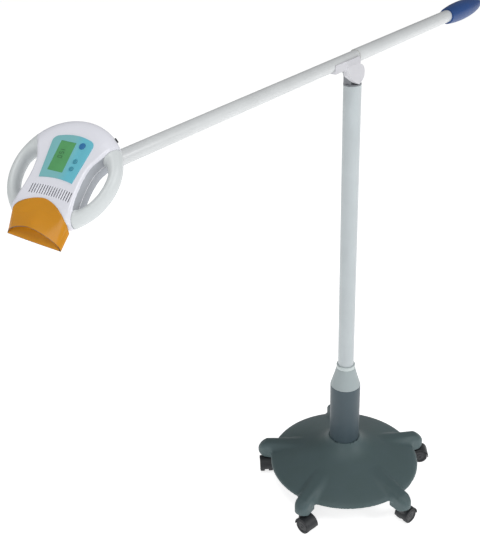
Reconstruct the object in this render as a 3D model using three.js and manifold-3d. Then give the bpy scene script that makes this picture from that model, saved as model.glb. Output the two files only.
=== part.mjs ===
// Mobile stand lamp: five-castor base, pole, counterbalanced boom arm and a round hand-held lamp head.
// Units are millimetres. +Z is up, z = 0 is the floor, the pole stands on the Z axis,
// and the boom arm lies along X with the lamp head at -X and the counterweight at +X.
import * as THREE from "three";
import { mergeVertices } from "three/addons/utils/BufferGeometryUtils.js";
import Module from "manifold-3d";

const wasm = await Module();
wasm.setup();

// ---------------------------------------------------------------- driving dimensions
const FINE = 28;
const ROUND = 20;
const SMALL = 12;
const WHEEL = 18;
const DISC = 36;
const RUNNING = 0.03;
const REST = 0.1;

// base
const BASE = {
  rimR: 245, rimZ: 86, neckR: 50.5, neckZ: 190, wall: 5, cavityR: 237, plateR: 232, plateZ: 78, plateT: 8,
};
const DOME = [
  [BASE.rimR, BASE.rimZ], [240, 95], [222, 104], [180, 119], [130, 136], [90, 151], [66, 166], [54, 180],
  [BASE.neckR, BASE.neckZ],
];
const LEG = {
  count: 5, firstDeg: 183.2, startR: 168, endR: 271, tipR: 296.4, capR: 26, halfW: 24, topZ: 123, bottomZ: 58,
};
const CASTOR = {
  wheelR: 25, wheelW: 15, webT: 13, gap: 0.4, hoodIn: 26.4, hoodOut: 29.4, axleR: 4, trail: 18, stemR: 5.5,
  stemTop: 92,
};
const TRAIL_DEG = [-101, -11, -55, 21, -141];

// column and pole
const COLUMN = { r: 48, wall: 4, bottomZ: 150, topZ: 392 };
const CONE = { topR: 29.5, topZ: 457, wall: 3 };
const RING = { r: 29.5, z0: 457.3, z1: 470 };
const POLE = { r: 25, wall: 2.8, bottomZ: 92, topZ: 1373 };
const SOCKET = { flangeR: 42, flangeT: 10, r: 31, topZ: 150 };

// swivel and tilt joint
const HINGE_Z = 1403.8;
const NECK = { z0: 1373.6, z1: 1376.6, spigotR: 16, spigotZ0: 1316, eyeR: 21, nearY: -7.6, farY: 19 };
const CHEEK = { r: 26.6, y0: -25, y1: -8, webX: -68, webZ: 1453, footX: -58, footZ: 1409.5, bevelZ: 1436 };
const SADDLE = { halfW: 19.5, x0: -115, x1: 3, z0: 1428.6, z1: 1453 };
const HINGE_PIN = { r: 6, y0: -19, nutT: 7, nutR: 10.5 };

// boom arm
const ARM_Z = 1447;
const FRONT_TUBE = { r: 16.4, wall: 2.2, x0: -893, x1: 150 };
const REAR_TUBE = { r: 18.6, wall: 1.6, x0: 10, x1: 600 };
const END_CAP = { x0: 555, x1: 793, r: 29.5, startRad: -0.62 };
const WEIGHT = { r: 16.7, x0: 292, x1: 598 };

// head joints
const HEAD_ROLL = THREE.MathUtils.degToRad(3.1);
const HEAD_YAW = THREE.MathUtils.degToRad(10.3);
const HEAD_LIFT = THREE.MathUtils.degToRad(51.5);
const EYE_X = -925;
const EYE = { r: 15, halfT: 7, pinR: 5, collarR: 18 };
const KNUCKLE = { reach: 30, barrelR: 11, halfLen: 10, plateT: 6, gap: 0.3, pinR: 4 };

// head, in its own frame: x to the right, y up the panel, z out of the face
const HEAD = { r: 116, halfT: 25, flatR: 78, wall: 3, side: 20, up: 51, back: 55, lugT: 6 };
const BODY_SIDE = [
  [104, 126], [99, 96], [88, 70], [72, 38], [63, 21], [59, 4], [58, -18], [60, -48], [67, -90], [71, -124],
];
const HANDLE = {
  fromDeg: -62, toDeg: 48, halfT: 17, halfW: 11.5,
  low: { deg: -7, grow: 7, thicken: 4, bend: 3 },
  high: { deg: 8, grow: 15, thicken: 7, bend: 1.5 },
};
const PANEL = { t: 1.2 };
const LCD = { x0: -23, x1: 11, y0: -5, y1: 59 };
const BUTTONS = [["power_button", 26, 55, 6.5], ["time_button", 26.5, 22, 4.5], ["start_button", 25.5, 6, 4.5]];
const VENT = { count: 17, pitch: 5.5, width: 2, length: 20, x: 5.5, y: -44.5 };
const OUTLET = { halfW: 46, z0: 1, z1: 15 };
const INLET = { deg: 53, r: 5, z0: 108, z1: 119 };
const FAN = { x: -14, y: -6, r: 23, depth: 12, blades: 7, pitchRad: 0.6 };
const SINK = { fins: 9, pitch: 9, finT: 2.4, y0: -84, y1: -58, halfT: 14 };
const SHIELD = {
  wall: 2.4, bow: 2, clear: 1.2, turnDeg: -3.5, pivotY: -100,
  face: { halfW: 66.2, power: 1.18, y: -102.6, rise: 40.9, bend: 1.44, z: 0.8, top: 26.2, arch: 0.84 },
  mouth: { halfW: 63.2, power: 1.31, y: -137.9, rise: 15.6, bend: 1, z: -6.8, top: 25.2, arch: 1.31 },
};

// ---------------------------------------------------------------- solids
function weld(geometry) {
  const bare = geometry.clone();
  bare.deleteAttribute("normal");
  bare.deleteAttribute("uv");
  const merged = mergeVertices(bare, 1e-4);
  const p = merged.attributes.position;
  const source = Array.from(merged.index.array);
  const kept = [];
  let volume = 0;
  const a = new THREE.Vector3();
  const b = new THREE.Vector3();
  const c = new THREE.Vector3();
  for (let i = 0; i < source.length; i += 3) {
    const [i0, i1, i2] = source.slice(i, i + 3);
    if (i0 === i1 || i1 === i2 || i0 === i2) continue;
    a.fromBufferAttribute(p, i0);
    b.fromBufferAttribute(p, i1);
    c.fromBufferAttribute(p, i2);
    volume += a.dot(b.cross(c));
    kept.push(i0, i1, i2);
  }
  if (volume < 0) {
    for (let i = 0; i < kept.length; i += 3) [kept[i], kept[i + 1]] = [kept[i + 1], kept[i]];
  }
  merged.setIndex(kept);
  return merged;
}

function toManifold(geometry) {
  const g = weld(geometry);
  return new wasm.Manifold(new wasm.Mesh({
    numProp: 3,
    vertProperties: new Float32Array(g.attributes.position.array),
    triVerts: new Uint32Array(g.index.array),
  }));
}

function fromManifold(manifold) {
  const mesh = manifold.getMesh();
  const g = new THREE.BufferGeometry();
  g.setAttribute("position", new THREE.BufferAttribute(new Float32Array(mesh.vertProperties), 3));
  g.setIndex(Array.from(mesh.triVerts));
  return g;
}

const join = (first, ...rest) => fromManifold(rest.reduce((m, g) => m.add(toManifold(g)), toManifold(first)));
const cut = (first, ...rest) => (
  fromManifold(rest.reduce((m, g) => m.subtract(toManifold(g)), toManifold(first)))
);
const common = (first, ...rest) => (
  fromManifold(rest.reduce((m, g) => m.intersect(toManifold(g)), toManifold(first)))
);

// A turned solid about Z from [radius, z] points; a ring's points are closed on themselves.
function turned(points, segments = ROUND) {
  const list = points.map(([r, z]) => new THREE.Vector2(r, z));
  if (list[0].x > 0) list.push(list[0].clone());
  const g = new THREE.LatheGeometry(list, segments);
  g.rotateX(Math.PI / 2);
  return weld(g);
}

const disc = (r, z0, z1, segments) => turned([[0, z0], [r, z0], [r, z1], [0, z1]], segments);
// Radius of a faceted bore whose flats just clear a shaft that turns in it.
const boreFor = (shaftR, segments) => shaftR / Math.cos(Math.PI / segments) + RUNNING;
const pipe = (rIn, rOut, z0, z1, segments) => turned([[rIn, z0], [rOut, z0], [rOut, z1], [rIn, z1]], segments);

// Turns a solid made about Z so that it lies along X or Y.
function alongX(g) {
  return g.rotateY(Math.PI / 2);
}

function alongY(g) {
  return g.rotateX(-Math.PI / 2);
}

function box(x0, x1, y0, y1, z0, z1) {
  const g = new THREE.BoxGeometry(x1 - x0, y1 - y0, z1 - z0);
  return weld(g.translate((x0 + x1) / 2, (y0 + y1) / 2, (z0 + z1) / 2));
}

function prism(shape, z0, z1, curveSegments = 12) {
  const g = new THREE.ExtrudeGeometry(shape, { depth: z1 - z0, bevelEnabled: false, curveSegments });
  return weld(g.translate(0, 0, z0));
}

// A plate drawn in X and Z, reaching from y0 to y1.
function sidePlate(shape, y0, y1, curveSegments) {
  return prism(shape, -y1, -y0, curveSegments).rotateX(Math.PI / 2);
}

// A solid through a row of closed loops with the same number of points.
function loft(loops) {
  const n = loops[0].length;
  const points = loops.flat();
  const index = [];
  for (let j = 0; j + 1 < loops.length; j += 1) {
    for (let i = 0; i < n; i += 1) {
      const a = j * n + i;
      const b = j * n + (i + 1) % n;
      index.push(a, b, a + n, b, b + n, a + n);
    }
  }
  [0, loops.length - 1].forEach((j) => {
    const middle = new THREE.Vector3();
    loops[j].forEach((p) => middle.addScaledVector(p, 1 / n));
    points.push(middle);
    for (let i = 0; i < n; i += 1) {
      const a = j * n + i;
      const b = j * n + (i + 1) % n;
      if (j === 0) index.push(b, a, points.length - 1);
      else index.push(a, b, points.length - 1);
    }
  });
  const g = new THREE.BufferGeometry().setFromPoints(points);
  g.setIndex(index);
  return weld(g);
}

// ---------------------------------------------------------------- materials and meshes
function paint(color, roughness, metalness = 0, extra = {}) {
  return new THREE.MeshStandardMaterial({ color, roughness, metalness, ...extra });
}

const LOOK = {
  slate: () => paint(0x4a5a5e, 0.45),
  column: () => paint(0x4e5c62, 0.4, 0.1),
  iron: () => paint(0x3b3e40, 0.7, 0.5),
  steel: () => paint(0xb4b8bb, 0.35, 0.9),
  collar: () => paint(0xb0b9b9, 0.45),
  white: () => paint(0xd8dadd, 0.35),
  pole: () => paint(0xcdd2d4, 0.3, 0.2),
  joint: () => paint(0xd3d3da, 0.4),
  nylon: () => paint(0xe6e4dc, 0.6),
  blue: () => paint(0x3864af, 0.4),
  shell: () => paint(0xdee0ea, 0.35),
  grip: () => paint(0xd4d8d8, 0.4),
  teal: () => paint(0x76b4ba, 0.35),
  lcd: () => paint(0x56a05a, 0.15),
  power: () => paint(0x286ea0, 0.4),
  button: () => paint(0x3c8ca0, 0.4),
  board: () => paint(0x1f5a38, 0.6),
  aluminium: () => paint(0xa8acb0, 0.4, 0.8),
  dark: () => paint(0x3c3e41, 0.55),
  tyre: () => paint(0x35373a, 0.75),
  lens: () => paint(0x9fb8ff, 0.1, 0, { transparent: true, opacity: 0.6 }),
  shield: () => paint(0xc88a2c, 0.2, 0, { transparent: true, opacity: 0.85 }),
};

function part(group, name, geometry, material) {
  const g = weld(geometry).toNonIndexed();
  g.computeVertexNormals();
  const mesh = new THREE.Mesh(g, material);
  mesh.name = name;
  group.add(mesh);
  return mesh;
}

// ---------------------------------------------------------------- base
function domeProfile(inset, steps) {
  const curve = new THREE.SplineCurve(DOME.map(([r, z]) => new THREE.Vector2(r - inset, z - inset)));
  return curve.getPoints(steps).map((p) => [p.x, p.y]);
}

// A leg: an arched section that sinks and rounds off over the castor's stem.
function legSolid(angle) {
  const loops = [];
  const across = 6;
  const stations = [LEG.startR, 200, 240, 262, 276, 286, 293, LEG.tipR];
  stations.forEach((s) => {
    const over = Math.max(0, s - LEG.endR);
    const halfW = over > 0 ? Math.sqrt(LEG.capR ** 2 - over ** 2) * (LEG.halfW / LEG.capR) : LEG.halfW;
    const fall = 0.0011 * (s - LEG.startR) ** 2;
    const top = LEG.topZ - fall - over * 0.35;
    const shoulder = top - 16 - over * 0.4;
    const loop = [new THREE.Vector3(s, -halfW, LEG.bottomZ + over * 0.4)];
    for (let i = 0; i <= across; i += 1) {
      const a = Math.PI * (1 - i / across);
      loop.push(new THREE.Vector3(s, halfW * Math.cos(a), shoulder + (top - shoulder) * Math.sin(a)));
    }
    loop.push(new THREE.Vector3(s, halfW, LEG.bottomZ + over * 0.4));
    loops.push(loop);
  });
  const g = loft(loops);
  g.rotateZ(angle);
  return g;
}

const legAngle = (i) => THREE.MathUtils.degToRad(LEG.firstDeg + (360 / LEG.count) * i);

function baseCover() {
  const outer = domeProfile(0, 9);
  const inner = domeProfile(BASE.wall, 5);
  const dome = turned([[0, BASE.rimZ], ...outer, [0, BASE.neckZ]], DISC);
  const cavity = turned([
    [0, 40], [BASE.cavityR, 40], [BASE.cavityR, BASE.rimZ - 1], ...inner.slice(1),
    [0, BASE.neckZ - BASE.wall],
  ], DISC);
  const legs = Array.from({ length: LEG.count }, (_, i) => legSolid(legAngle(i)));
  const bores = legs.map((_, i) => disc(boreFor(CASTOR.stemR, SMALL), 40, CASTOR.stemTop + 1, SMALL)
    .translate(LEG.endR * Math.cos(legAngle(i)), LEG.endR * Math.sin(legAngle(i)), 0));
  return cut(join(dome, ...legs), cavity, disc(COLUMN.r + 0.3, 100, 220, FINE), ...bores);
}

function buildBase(group) {
  part(group, "base_cover", baseCover(), LOOK.slate());
  part(group, "ballast_plate", disc(BASE.plateR, BASE.plateZ, BASE.plateZ + BASE.plateT, DISC), LOOK.iron());
  const socketZ = BASE.plateZ + BASE.plateT;
  part(group, "pole_socket", turned([
    [0, socketZ], [SOCKET.flangeR, socketZ], [SOCKET.flangeR, socketZ + SOCKET.flangeT],
    [SOCKET.r, socketZ + SOCKET.flangeT],
    [SOCKET.r, SOCKET.topZ], [POLE.r + 0.05, SOCKET.topZ], [POLE.r + 0.05, POLE.bottomZ], [0, POLE.bottomZ],
  ], FINE), LOOK.iron());
  const sleeve = pipe(COLUMN.r - COLUMN.wall, COLUMN.r, COLUMN.bottomZ, COLUMN.topZ, FINE);
  part(group, "column_sleeve", sleeve, LOOK.column());
  part(group, "cone_collar", turned([
    [POLE.r + 0.4, CONE.topZ - 4], [POLE.r + 0.4, CONE.topZ], [CONE.topR, CONE.topZ], [34, CONE.topZ - 18],
    [40.5, CONE.topZ - 40], [COLUMN.r - 0.6, COLUMN.topZ + 2], [COLUMN.r - 0.6, COLUMN.topZ], [COLUMN.r - 7, COLUMN.topZ], [37, CONE.topZ - 42],
    [30, CONE.topZ - 18],
  ], FINE), LOOK.collar());
  part(group, "pole_ring", pipe(POLE.r + 0.1, RING.r, RING.z0, RING.z1, FINE), LOOK.white());
  part(group, "pole", pipe(POLE.r - POLE.wall, POLE.r, POLE.bottomZ, POLE.topZ, FINE), LOOK.pole());
  const bush = pipe(boreFor(NECK.spigotR, FINE), POLE.r - POLE.wall, NECK.spigotZ0, POLE.topZ, FINE);
  part(group, "pole_bush", bush, LOOK.nylon());
}

// ---------------------------------------------------------------- castors
// Castor frame: stem on Z, trailing towards +X, axle along Y.
function castorBody() {
  const { hoodIn, hoodOut, webT, wheelR, wheelW, gap, trail, stemR, stemTop, axleR } = CASTOR;
  const halfHood = webT / 2 + gap + wheelW + 1;
  const hood = alongY(pipe(hoodIn, hoodOut, -halfHood, halfHood, WHEEL)).translate(trail, 0, wheelR);
  const web = alongY(disc(hoodIn + 1, -webT / 2, webT / 2, WHEEL)).translate(trail, 0, wheelR);
  const upper = box(-30, 70, -40, 40, wheelR - 2, 60);
  const boss = disc(12, 44, LEG.bottomZ - 0.4, SMALL);
  const shell = common(join(hood, web), upper);
  const stem = disc(stemR, 50, stemTop, SMALL);
  const hub = alongY(disc(9, -webT / 2, webT / 2, SMALL)).translate(trail, 0, wheelR);
  const bore = alongY(disc(axleR + 0.02, -40, 40, SMALL)).translate(trail, 0, wheelR);
  const wheelRoom = (side) => alongY(disc(hoodIn, 0, wheelW + gap + 0.2, WHEEL))
    .translate(trail, side > 0 ? webT / 2 + 0.001 : -(webT / 2 + wheelW + gap + 0.201), wheelR);
  return cut(join(shell, boss, stem, hub), bore, wheelRoom(1), wheelRoom(-1));
}

function castorWheel(side) {
  const { wheelR, wheelW, webT, gap, trail, axleR } = CASTOR;
  const y0 = webT / 2 + gap;
  const y1 = y0 + wheelW;
  const bore = boreFor(axleR, WHEEL);
  const g = alongY(turned([
    [bore, y0], [wheelR, y0], [wheelR, y1 - 4], [wheelR - 3.5, y1], [wheelR - 8, y1],
    [wheelR - 9, y1 - 1.5], [bore, y1 - 1.5],
  ], WHEEL));
  if (side < 0) g.scale(1, -1, 1);
  return weld(g.translate(trail, 0, wheelR));
}

function buildCastor(group, i) {
  const castor = new THREE.Group();
  const angle = legAngle(i);
  castor.position.set(LEG.endR * Math.cos(angle), LEG.endR * Math.sin(angle), 0);
  castor.rotation.z = THREE.MathUtils.degToRad(TRAIL_DEG[i]);
  const halfAxle = CASTOR.webT / 2 + CASTOR.gap + CASTOR.wheelW - 1;
  const axle = alongY(disc(CASTOR.axleR, -halfAxle, halfAxle, SMALL)).translate(CASTOR.trail, 0, CASTOR.wheelR);
  part(castor, `castor_${i + 1}_body`, castorBody(), LOOK.dark());
  part(castor, `castor_${i + 1}_axle`, axle, LOOK.steel());
  part(castor, `castor_${i + 1}_wheel_left`, castorWheel(1), LOOK.tyre());
  part(castor, `castor_${i + 1}_wheel_right`, castorWheel(-1), LOOK.tyre());
  group.add(castor);
}

// ---------------------------------------------------------------- swivel and tilt joint
// A round neck with a flat on the near side, against which the bracket's cheek turns.
function swivelHead() {
  const { z0, z1, spigotR, spigotZ0, eyeR, nearY, farY } = NECK;
  const spigot = disc(spigotR, spigotZ0, z0 + 1, FINE);
  const collar = disc(POLE.r, z0, z1, FINE);
  const eye = alongY(disc(eyeR, nearY, farY, ROUND)).translate(0, 0, HINGE_Z);
  const post = box(-eyeR, eyeR, nearY, farY, z0 + 1, HINGE_Z);
  const neck = common(disc(POLE.r, z0 + 1, HINGE_Z + eyeR + 1, FINE), join(post, eye));
  const bore = alongY(disc(boreFor(HINGE_PIN.r, SMALL), -40, 40, SMALL)).translate(0, 0, HINGE_Z);
  return cut(join(spigot, collar, neck), bore);
}

// Side view of the hanging cheek, x forwards and y up: a sloping web that runs into a round eye.
function cheekShape() {
  const { r, webX, webZ, footX, footZ } = CHEEK;
  const drop = footZ - HINGE_Z;
  const tangent = Math.atan2(drop, footX) + Math.acos(r / Math.hypot(footX, drop));
  const shape = new THREE.Shape();
  shape.moveTo(webX, webZ);
  shape.lineTo(footX, footZ);
  shape.absarc(0, HINGE_Z, r, tangent, Math.PI * 2.5 - Math.asin(SADDLE.x1 / r), false);
  shape.lineTo(SADDLE.x1, webZ);
  return shape;
}

// A saddle under the tube with one cheek that hangs beside the swivel's neck and slopes in at the top.
function saddleBracket() {
  const { halfW, x0, x1, z0, z1 } = SADDLE;
  const { y0, y1, webX, bevelZ } = CHEEK;
  const below = HINGE_Z - 2 * CHEEK.r;
  const section = [[y0, below], [y0, bevelZ], [-halfW, z1], [y1, z1], [y1, below]];
  const bevel = new THREE.Shape(section.map(([y, z]) => new THREE.Vector2(-z, y)));
  const cheek = sidePlate(cheekShape(), y0, y1, 18);
  const saddle = box(x0, x1, -halfW, halfW, z0, z1);
  const bore = alongX(disc(FRONT_TUBE.r + 0.02, x0 - 5, x1 + 5, ROUND)).translate(0, 0, ARM_Z);
  const pinBore = alongY(disc(HINGE_PIN.r + 0.02, HINGE_PIN.y0 - 0.02, 60, SMALL)).translate(0, 0, HINGE_Z);
  return cut(join(common(cheek, alongX(prism(bevel, webX - 5, 60))), saddle), bore, pinBore);
}

function buildJoint(group) {
  part(group, "swivel_head", swivelHead(), LOOK.joint());
  part(group, "saddle_bracket", saddleBracket(), LOOK.joint());
  const { r, y0, nutT, nutR } = HINGE_PIN;
  const nutY = NECK.farY + 0.4;
  part(group, "hinge_pin", alongY(disc(r, y0, nutY + nutT + 2, SMALL)).translate(0, 0, HINGE_Z), LOOK.steel());
  const nut = cut(disc(nutR, nutY, nutY + nutT, 6), disc(r + 0.02, 0, 60, SMALL));
  part(group, "hinge_nut", alongY(nut).translate(0, 0, HINGE_Z), LOOK.steel());
}

// ---------------------------------------------------------------- boom arm
function buildArm(group) {
  const arm = (g) => alongX(g).translate(0, 0, ARM_Z);
  const { r: fr, wall: fw } = FRONT_TUBE;
  const { r: rr, wall: rw } = REAR_TUBE;
  part(group, "arm_front_tube", arm(pipe(fr - fw, fr, FRONT_TUBE.x0, FRONT_TUBE.x1, ROUND)), LOOK.white());
  part(group, "arm_rear_tube", arm(pipe(rr - rw, rr, REAR_TUBE.x0, REAR_TUBE.x1, ROUND)), LOOK.white());
  part(group, "arm_bush", arm(pipe(fr, rr - rw, REAR_TUBE.x0, FRONT_TUBE.x1, ROUND)), LOOK.nylon());
  part(group, "counterweight", arm(disc(WEIGHT.r, WEIGHT.x0, WEIGHT.x1, ROUND)), LOOK.iron());
  const steps = 10;
  const { x0, x1, r, startRad } = END_CAP;
  const outline = [];
  for (let i = 0; i <= steps; i += 1) {
    const a = startRad + (Math.PI / 2 - startRad) * (i / steps);
    outline.push([r * Math.cos(a), x1 - (1 - Math.sin(a)) / (1 - Math.sin(startRad)) * (x1 - x0)]);
  }
  outline[steps][0] = 0;
  const cap = turned([
    [rr + 0.02, x0], ...outline, [0, REAR_TUBE.x1 + 0.3], [rr + 0.02, REAR_TUBE.x1 + 0.3],
  ], ROUND);
  part(group, "arm_end_cap", arm(cap), LOOK.blue());
}

// ---------------------------------------------------------------- head joints
function headSocket() {
  const { r, halfT, pinR, collarR } = EYE;
  const plugR = (FRONT_TUBE.r - FRONT_TUBE.wall) * Math.cos(Math.PI / ROUND) - RUNNING;
  const plug = alongX(disc(plugR, FRONT_TUBE.x0 - 1, FRONT_TUBE.x0 + 45, ROUND));
  const collar = alongX(disc(collarR, FRONT_TUBE.x0 - 12, FRONT_TUBE.x0 - 0.3, ROUND));
  const eye = disc(r, -halfT, halfT, ROUND).translate(EYE_X, 0, 0);
  const neck = box(EYE_X, FRONT_TUBE.x0 - 11, -11, 11, -halfT, halfT);
  const bore = disc(boreFor(pinR, SMALL), -40, 40, SMALL).translate(EYE_X, 0, 0);
  return cut(join(plug, collar, eye, neck), bore);
}

// Knuckle frame: turning pin on Z at the origin, tilting barrel along Y at -reach.
function headKnuckle() {
  const { reach, barrelR, halfLen, plateT, gap } = KNUCKLE;
  const z0 = EYE.halfT + gap;
  const z1 = z0 + plateT;
  const ear = (low, high) => join(disc(EYE.r, low, high, ROUND), box(-reach + 4, 0, -9.5, 9.5, low, high));
  const neck = box(-reach + 2, -EYE.r - 0.6, -9.5, 9.5, -z1, z1);
  const barrel = alongY(disc(barrelR, -halfLen, halfLen, ROUND)).translate(-reach, 0, 0);
  const bore = alongY(disc(boreFor(KNUCKLE.pinR, SMALL), -40, 40, SMALL)).translate(-reach, 0, 0);
  const pinBore = disc(EYE.pinR + 0.02, -40, 40, SMALL);
  return cut(join(ear(z0, z1), ear(-z1, -z0), neck, barrel), bore, pinBore);
}

// ---------------------------------------------------------------- head
// Height of the face above the middle plane at a radius from the middle.
function faceHeight(r, inset) {
  const rim = HEAD.r - inset;
  const t = Math.min(1, Math.max(0, (r - HEAD.flatR) / (rim - HEAD.flatR)));
  return (HEAD.halfT - inset) * (1 - t ** 2.3) ** (1 / 2.3);
}

function headDisc(inset) {
  const rim = HEAD.r - inset;
  const steps = 5;
  const side = [];
  for (let i = 0; i <= steps; i += 1) {
    const r = HEAD.flatR + (rim - HEAD.flatR) * Math.sin((i / steps) * Math.PI / 2);
    side.push([r, faceHeight(r, inset)]);
  }
  side[steps][1] = 0;
  const lower = side.slice(0, steps).map(([r, z]) => [r, -z]);
  return turned([[0, -HEAD.halfT + inset], ...lower, ...side.reverse(), [0, HEAD.halfT - inset]], DISC);
}

function bodyPrism(inset, half) {
  const curve = new THREE.SplineCurve(BODY_SIDE.map(([x, y]) => new THREE.Vector2(x - inset, y)));
  const right = curve.getPoints(10);
  const shape = new THREE.Shape(right.concat(right.slice().reverse().map((p) => new THREE.Vector2(-p.x, p.y))));
  return prism(shape, -half, half);
}

function headBody(inset) {
  return common(headDisc(inset), bodyPrism(inset, 60));
}

function inletSolid(points) {
  return alongX(turned(points, SMALL)).rotateZ(THREE.MathUtils.degToRad(INLET.deg));
}

// The hole that the power inlet sits in, across the parting line of the two shells.
const inletHole = () => inletSolid([[0, 100], [INLET.r + REST, 100], [INLET.r + REST, 130], [0, 130]]);

function frontShell() {
  const half = box(-200, 200, -200, 200, 0, 60);
  const slits = [];
  for (let i = 0; i < VENT.count; i += 1) {
    const x = VENT.x + (i - (VENT.count - 1) / 2) * VENT.pitch;
    const y = VENT.y - 0.0015 * x * x;
    slits.push(box(x - VENT.width / 2, x + VENT.width / 2, y - VENT.length / 2, y + VENT.length / 2, 15, 40));
  }
  const keyHoles = BUTTONS.map(([, x, y, r]) => disc(r + 0.3, 15, 40, SMALL).translate(x, y, 0));
  const screen = box(LCD.x0 + 2, LCD.x1 - 2, LCD.y0 + 2, LCD.y1 - 2, 15, 40);
  const mouth = box(-OUTLET.halfW, OUTLET.halfW, -140, -95, OUTLET.z0, OUTLET.z1);
  return cut(common(headBody(0), half), headBody(HEAD.wall), ...slits, ...keyHoles, screen, mouth, inletHole());
}

function rearShell() {
  const half = box(-200, 200, -200, 200, -60, 0);
  const { side, up, back } = HEAD;
  const lug = (x0, x1) => {
    const eye = alongX(disc(KNUCKLE.barrelR, x0, x1, ROUND)).translate(0, up, -back);
    const stem = box(x0, x1, up - 14, up + 11, -back, -HEAD.halfT + 1);
    return join(eye, stem);
  };
  const inner = KNUCKLE.halfLen + KNUCKLE.gap;
  const outer = inner + HEAD.lugT;
  const shell = cut(common(headBody(0), half), headBody(HEAD.wall));
  const bore = alongX(disc(KNUCKLE.pinR + 0.02, -60, 90, SMALL)).translate(0, up, -back);
  const fanHole = disc(FAN.r - 2, -40, -15, ROUND).translate(FAN.x, FAN.y, 0);
  const lugs = [lug(side - outer, side - inner), lug(side + inner, side + outer)];
  return cut(join(shell, ...lugs), bore, fanHole, inletHole());
}

// How far along its widening end the grip is at an angle round the rim, from 0 to 1.
function gripEnd({ deg, bend }, endDeg, atDeg) {
  return Math.max(0, (atDeg - deg) / (endDeg - deg)) ** bend;
}

// A side grip: an oval bar bent round the rim, wider where it meets the body.
function handle(mirror) {
  const { fromDeg, toDeg, low, high } = HANDLE;
  const loops = [];
  const count = 18;
  const around = 12;
  for (let j = 0; j <= count; j += 1) {
    const deg = fromDeg + (toDeg - fromDeg) * (j / count);
    const a = THREE.MathUtils.degToRad(deg);
    const atLow = gripEnd(low, fromDeg, deg);
    const atHigh = gripEnd(high, toDeg, deg);
    const halfW = HANDLE.halfW + low.grow * atLow + high.grow * atHigh;
    const mid = HEAD.r - halfW;
    const halfT = HANDLE.halfT + low.thicken * atLow + high.thicken * atHigh;
    const loop = [];
    for (let i = 0; i < around; i += 1) {
      const b = (i / around) * 2 * Math.PI;
      const r = mid + halfW * Math.cos(b);
      loop.push(new THREE.Vector3(r * Math.cos(a), r * Math.sin(a), halfT * Math.sin(b)));
    }
    loops.push(loop);
  }
  const g = cut(loft(loops), bodyPrism(0, 60));
  if (mirror) g.scale(-1, 1, 1);
  return weld(g);
}

function panelShape() {
  const shape = new THREE.Shape();
  shape.moveTo(-33, -22.5);
  shape.quadraticCurveTo(4, -14, 41, -22);
  shape.lineTo(48.5, 53);
  shape.quadraticCurveTo(50, 65, 39, 69);
  shape.quadraticCurveTo(2, 80, -34, 67);
  shape.quadraticCurveTo(-42, 63, -42, 54);
  return shape;
}

function panelOverlay() {
  const z0 = HEAD.halfT + REST;
  const sheet = prism(panelShape(), z0, z0 + PANEL.t);
  const holes = BUTTONS.map(([, x, y, r]) => disc(r + 0.3, z0 - 5, z0 + 5, SMALL).translate(x, y, 0));
  return cut(sheet, box(LCD.x0, LCD.x1, LCD.y0, LCD.y1, z0 - 5, z0 + 5), ...holes);
}

// A tube round the light outlet, arched in front and flat behind, that leads from the face out past the rim.
function shieldTube(inset, from, to) {
  const { face, mouth, bow, clear, turnDeg, pivotY } = SHIELD;
  const rows = 5;
  const across = 20;
  const behind = 6;
  const turn = new THREE.Matrix4().makeRotationZ(THREE.MathUtils.degToRad(turnDeg));
  const power = (v, e) => Math.sign(v) * Math.abs(v) ** e;
  const end = (shape, c, s) => new THREE.Vector3(
    shape.halfW * power(c, shape.power),
    shape.y + shape.rise * s ** shape.bend - pivotY,
    shape.z + (shape.top - shape.z) * s ** shape.arch,
  ).applyMatrix4(turn).add(new THREE.Vector3(0, pivotY, 0));
  const lift = (p, within) => {
    const r = Math.hypot(p.x, p.y);
    if (r < within) p.z = Math.max(p.z, faceHeight(r, 0) + clear);
  };
  const arch = (t, k) => {
    const c = Math.cos(Math.PI * k / across);
    const s = Math.abs(Math.sin(Math.PI * k / across));
    const p = end(face, c, s);
    lift(p, HEAD.r);
    lift(p.lerp(end(mouth, c, s), t), HEAD.r - 8);
    return p.add(new THREE.Vector3(-inset * power(c, 0.5), 0, inset * (1 - 2 * s)));
  };
  const loops = [];
  for (let j = 0; j <= rows; j += 1) {
    const t = from + (to - from) * (j / rows);
    const loop = Array.from({ length: across + 1 }, (_, k) => arch(t, k));
    const left = loop[across];
    for (let m = 1; m < behind; m += 1) {
      const p = left.clone().lerp(loop[0], m / behind);
      p.z -= bow * Math.sin(Math.PI * m / behind);
      loop.push(p);
    }
    loops.push(loop);
  }
  return loft(loops);
}

function shield() {
  const room = common(headDisc(-0.2), bodyPrism(-0.2, 60));
  return cut(shieldTube(0, 0, 1), shieldTube(SHIELD.wall, -0.2, 1.2), room);
}

function heatSink() {
  const { fins, pitch, finT, y0, y1, halfT } = SINK;
  const halfW = (fins - 1) * pitch / 2;
  const base = box(-halfW - 2, halfW + 2, y0, y0 + 4, -halfT, halfT);
  const blades = Array.from({ length: fins }, (_, i) => {
    const x = i * pitch - halfW;
    return box(x - finT / 2, x + finT / 2, y0 + 3, y1, -halfT, halfT);
  });
  return join(base, ...blades);
}

function fanRotor() {
  const hub = disc(9, -HEAD.halfT + 5, -HEAD.halfT + 13, SMALL);
  const blades = Array.from({ length: FAN.blades }, (_, i) => {
    const blade = box(7, 19, -5, 5, -0.8, 0.8);
    blade.rotateX(FAN.pitchRad);
    blade.rotateZ((i / FAN.blades) * 2 * Math.PI);
    return blade.translate(0, 0, -HEAD.halfT + 9);
  });
  return join(hub, ...blades).translate(FAN.x, FAN.y, 0);
}

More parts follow.
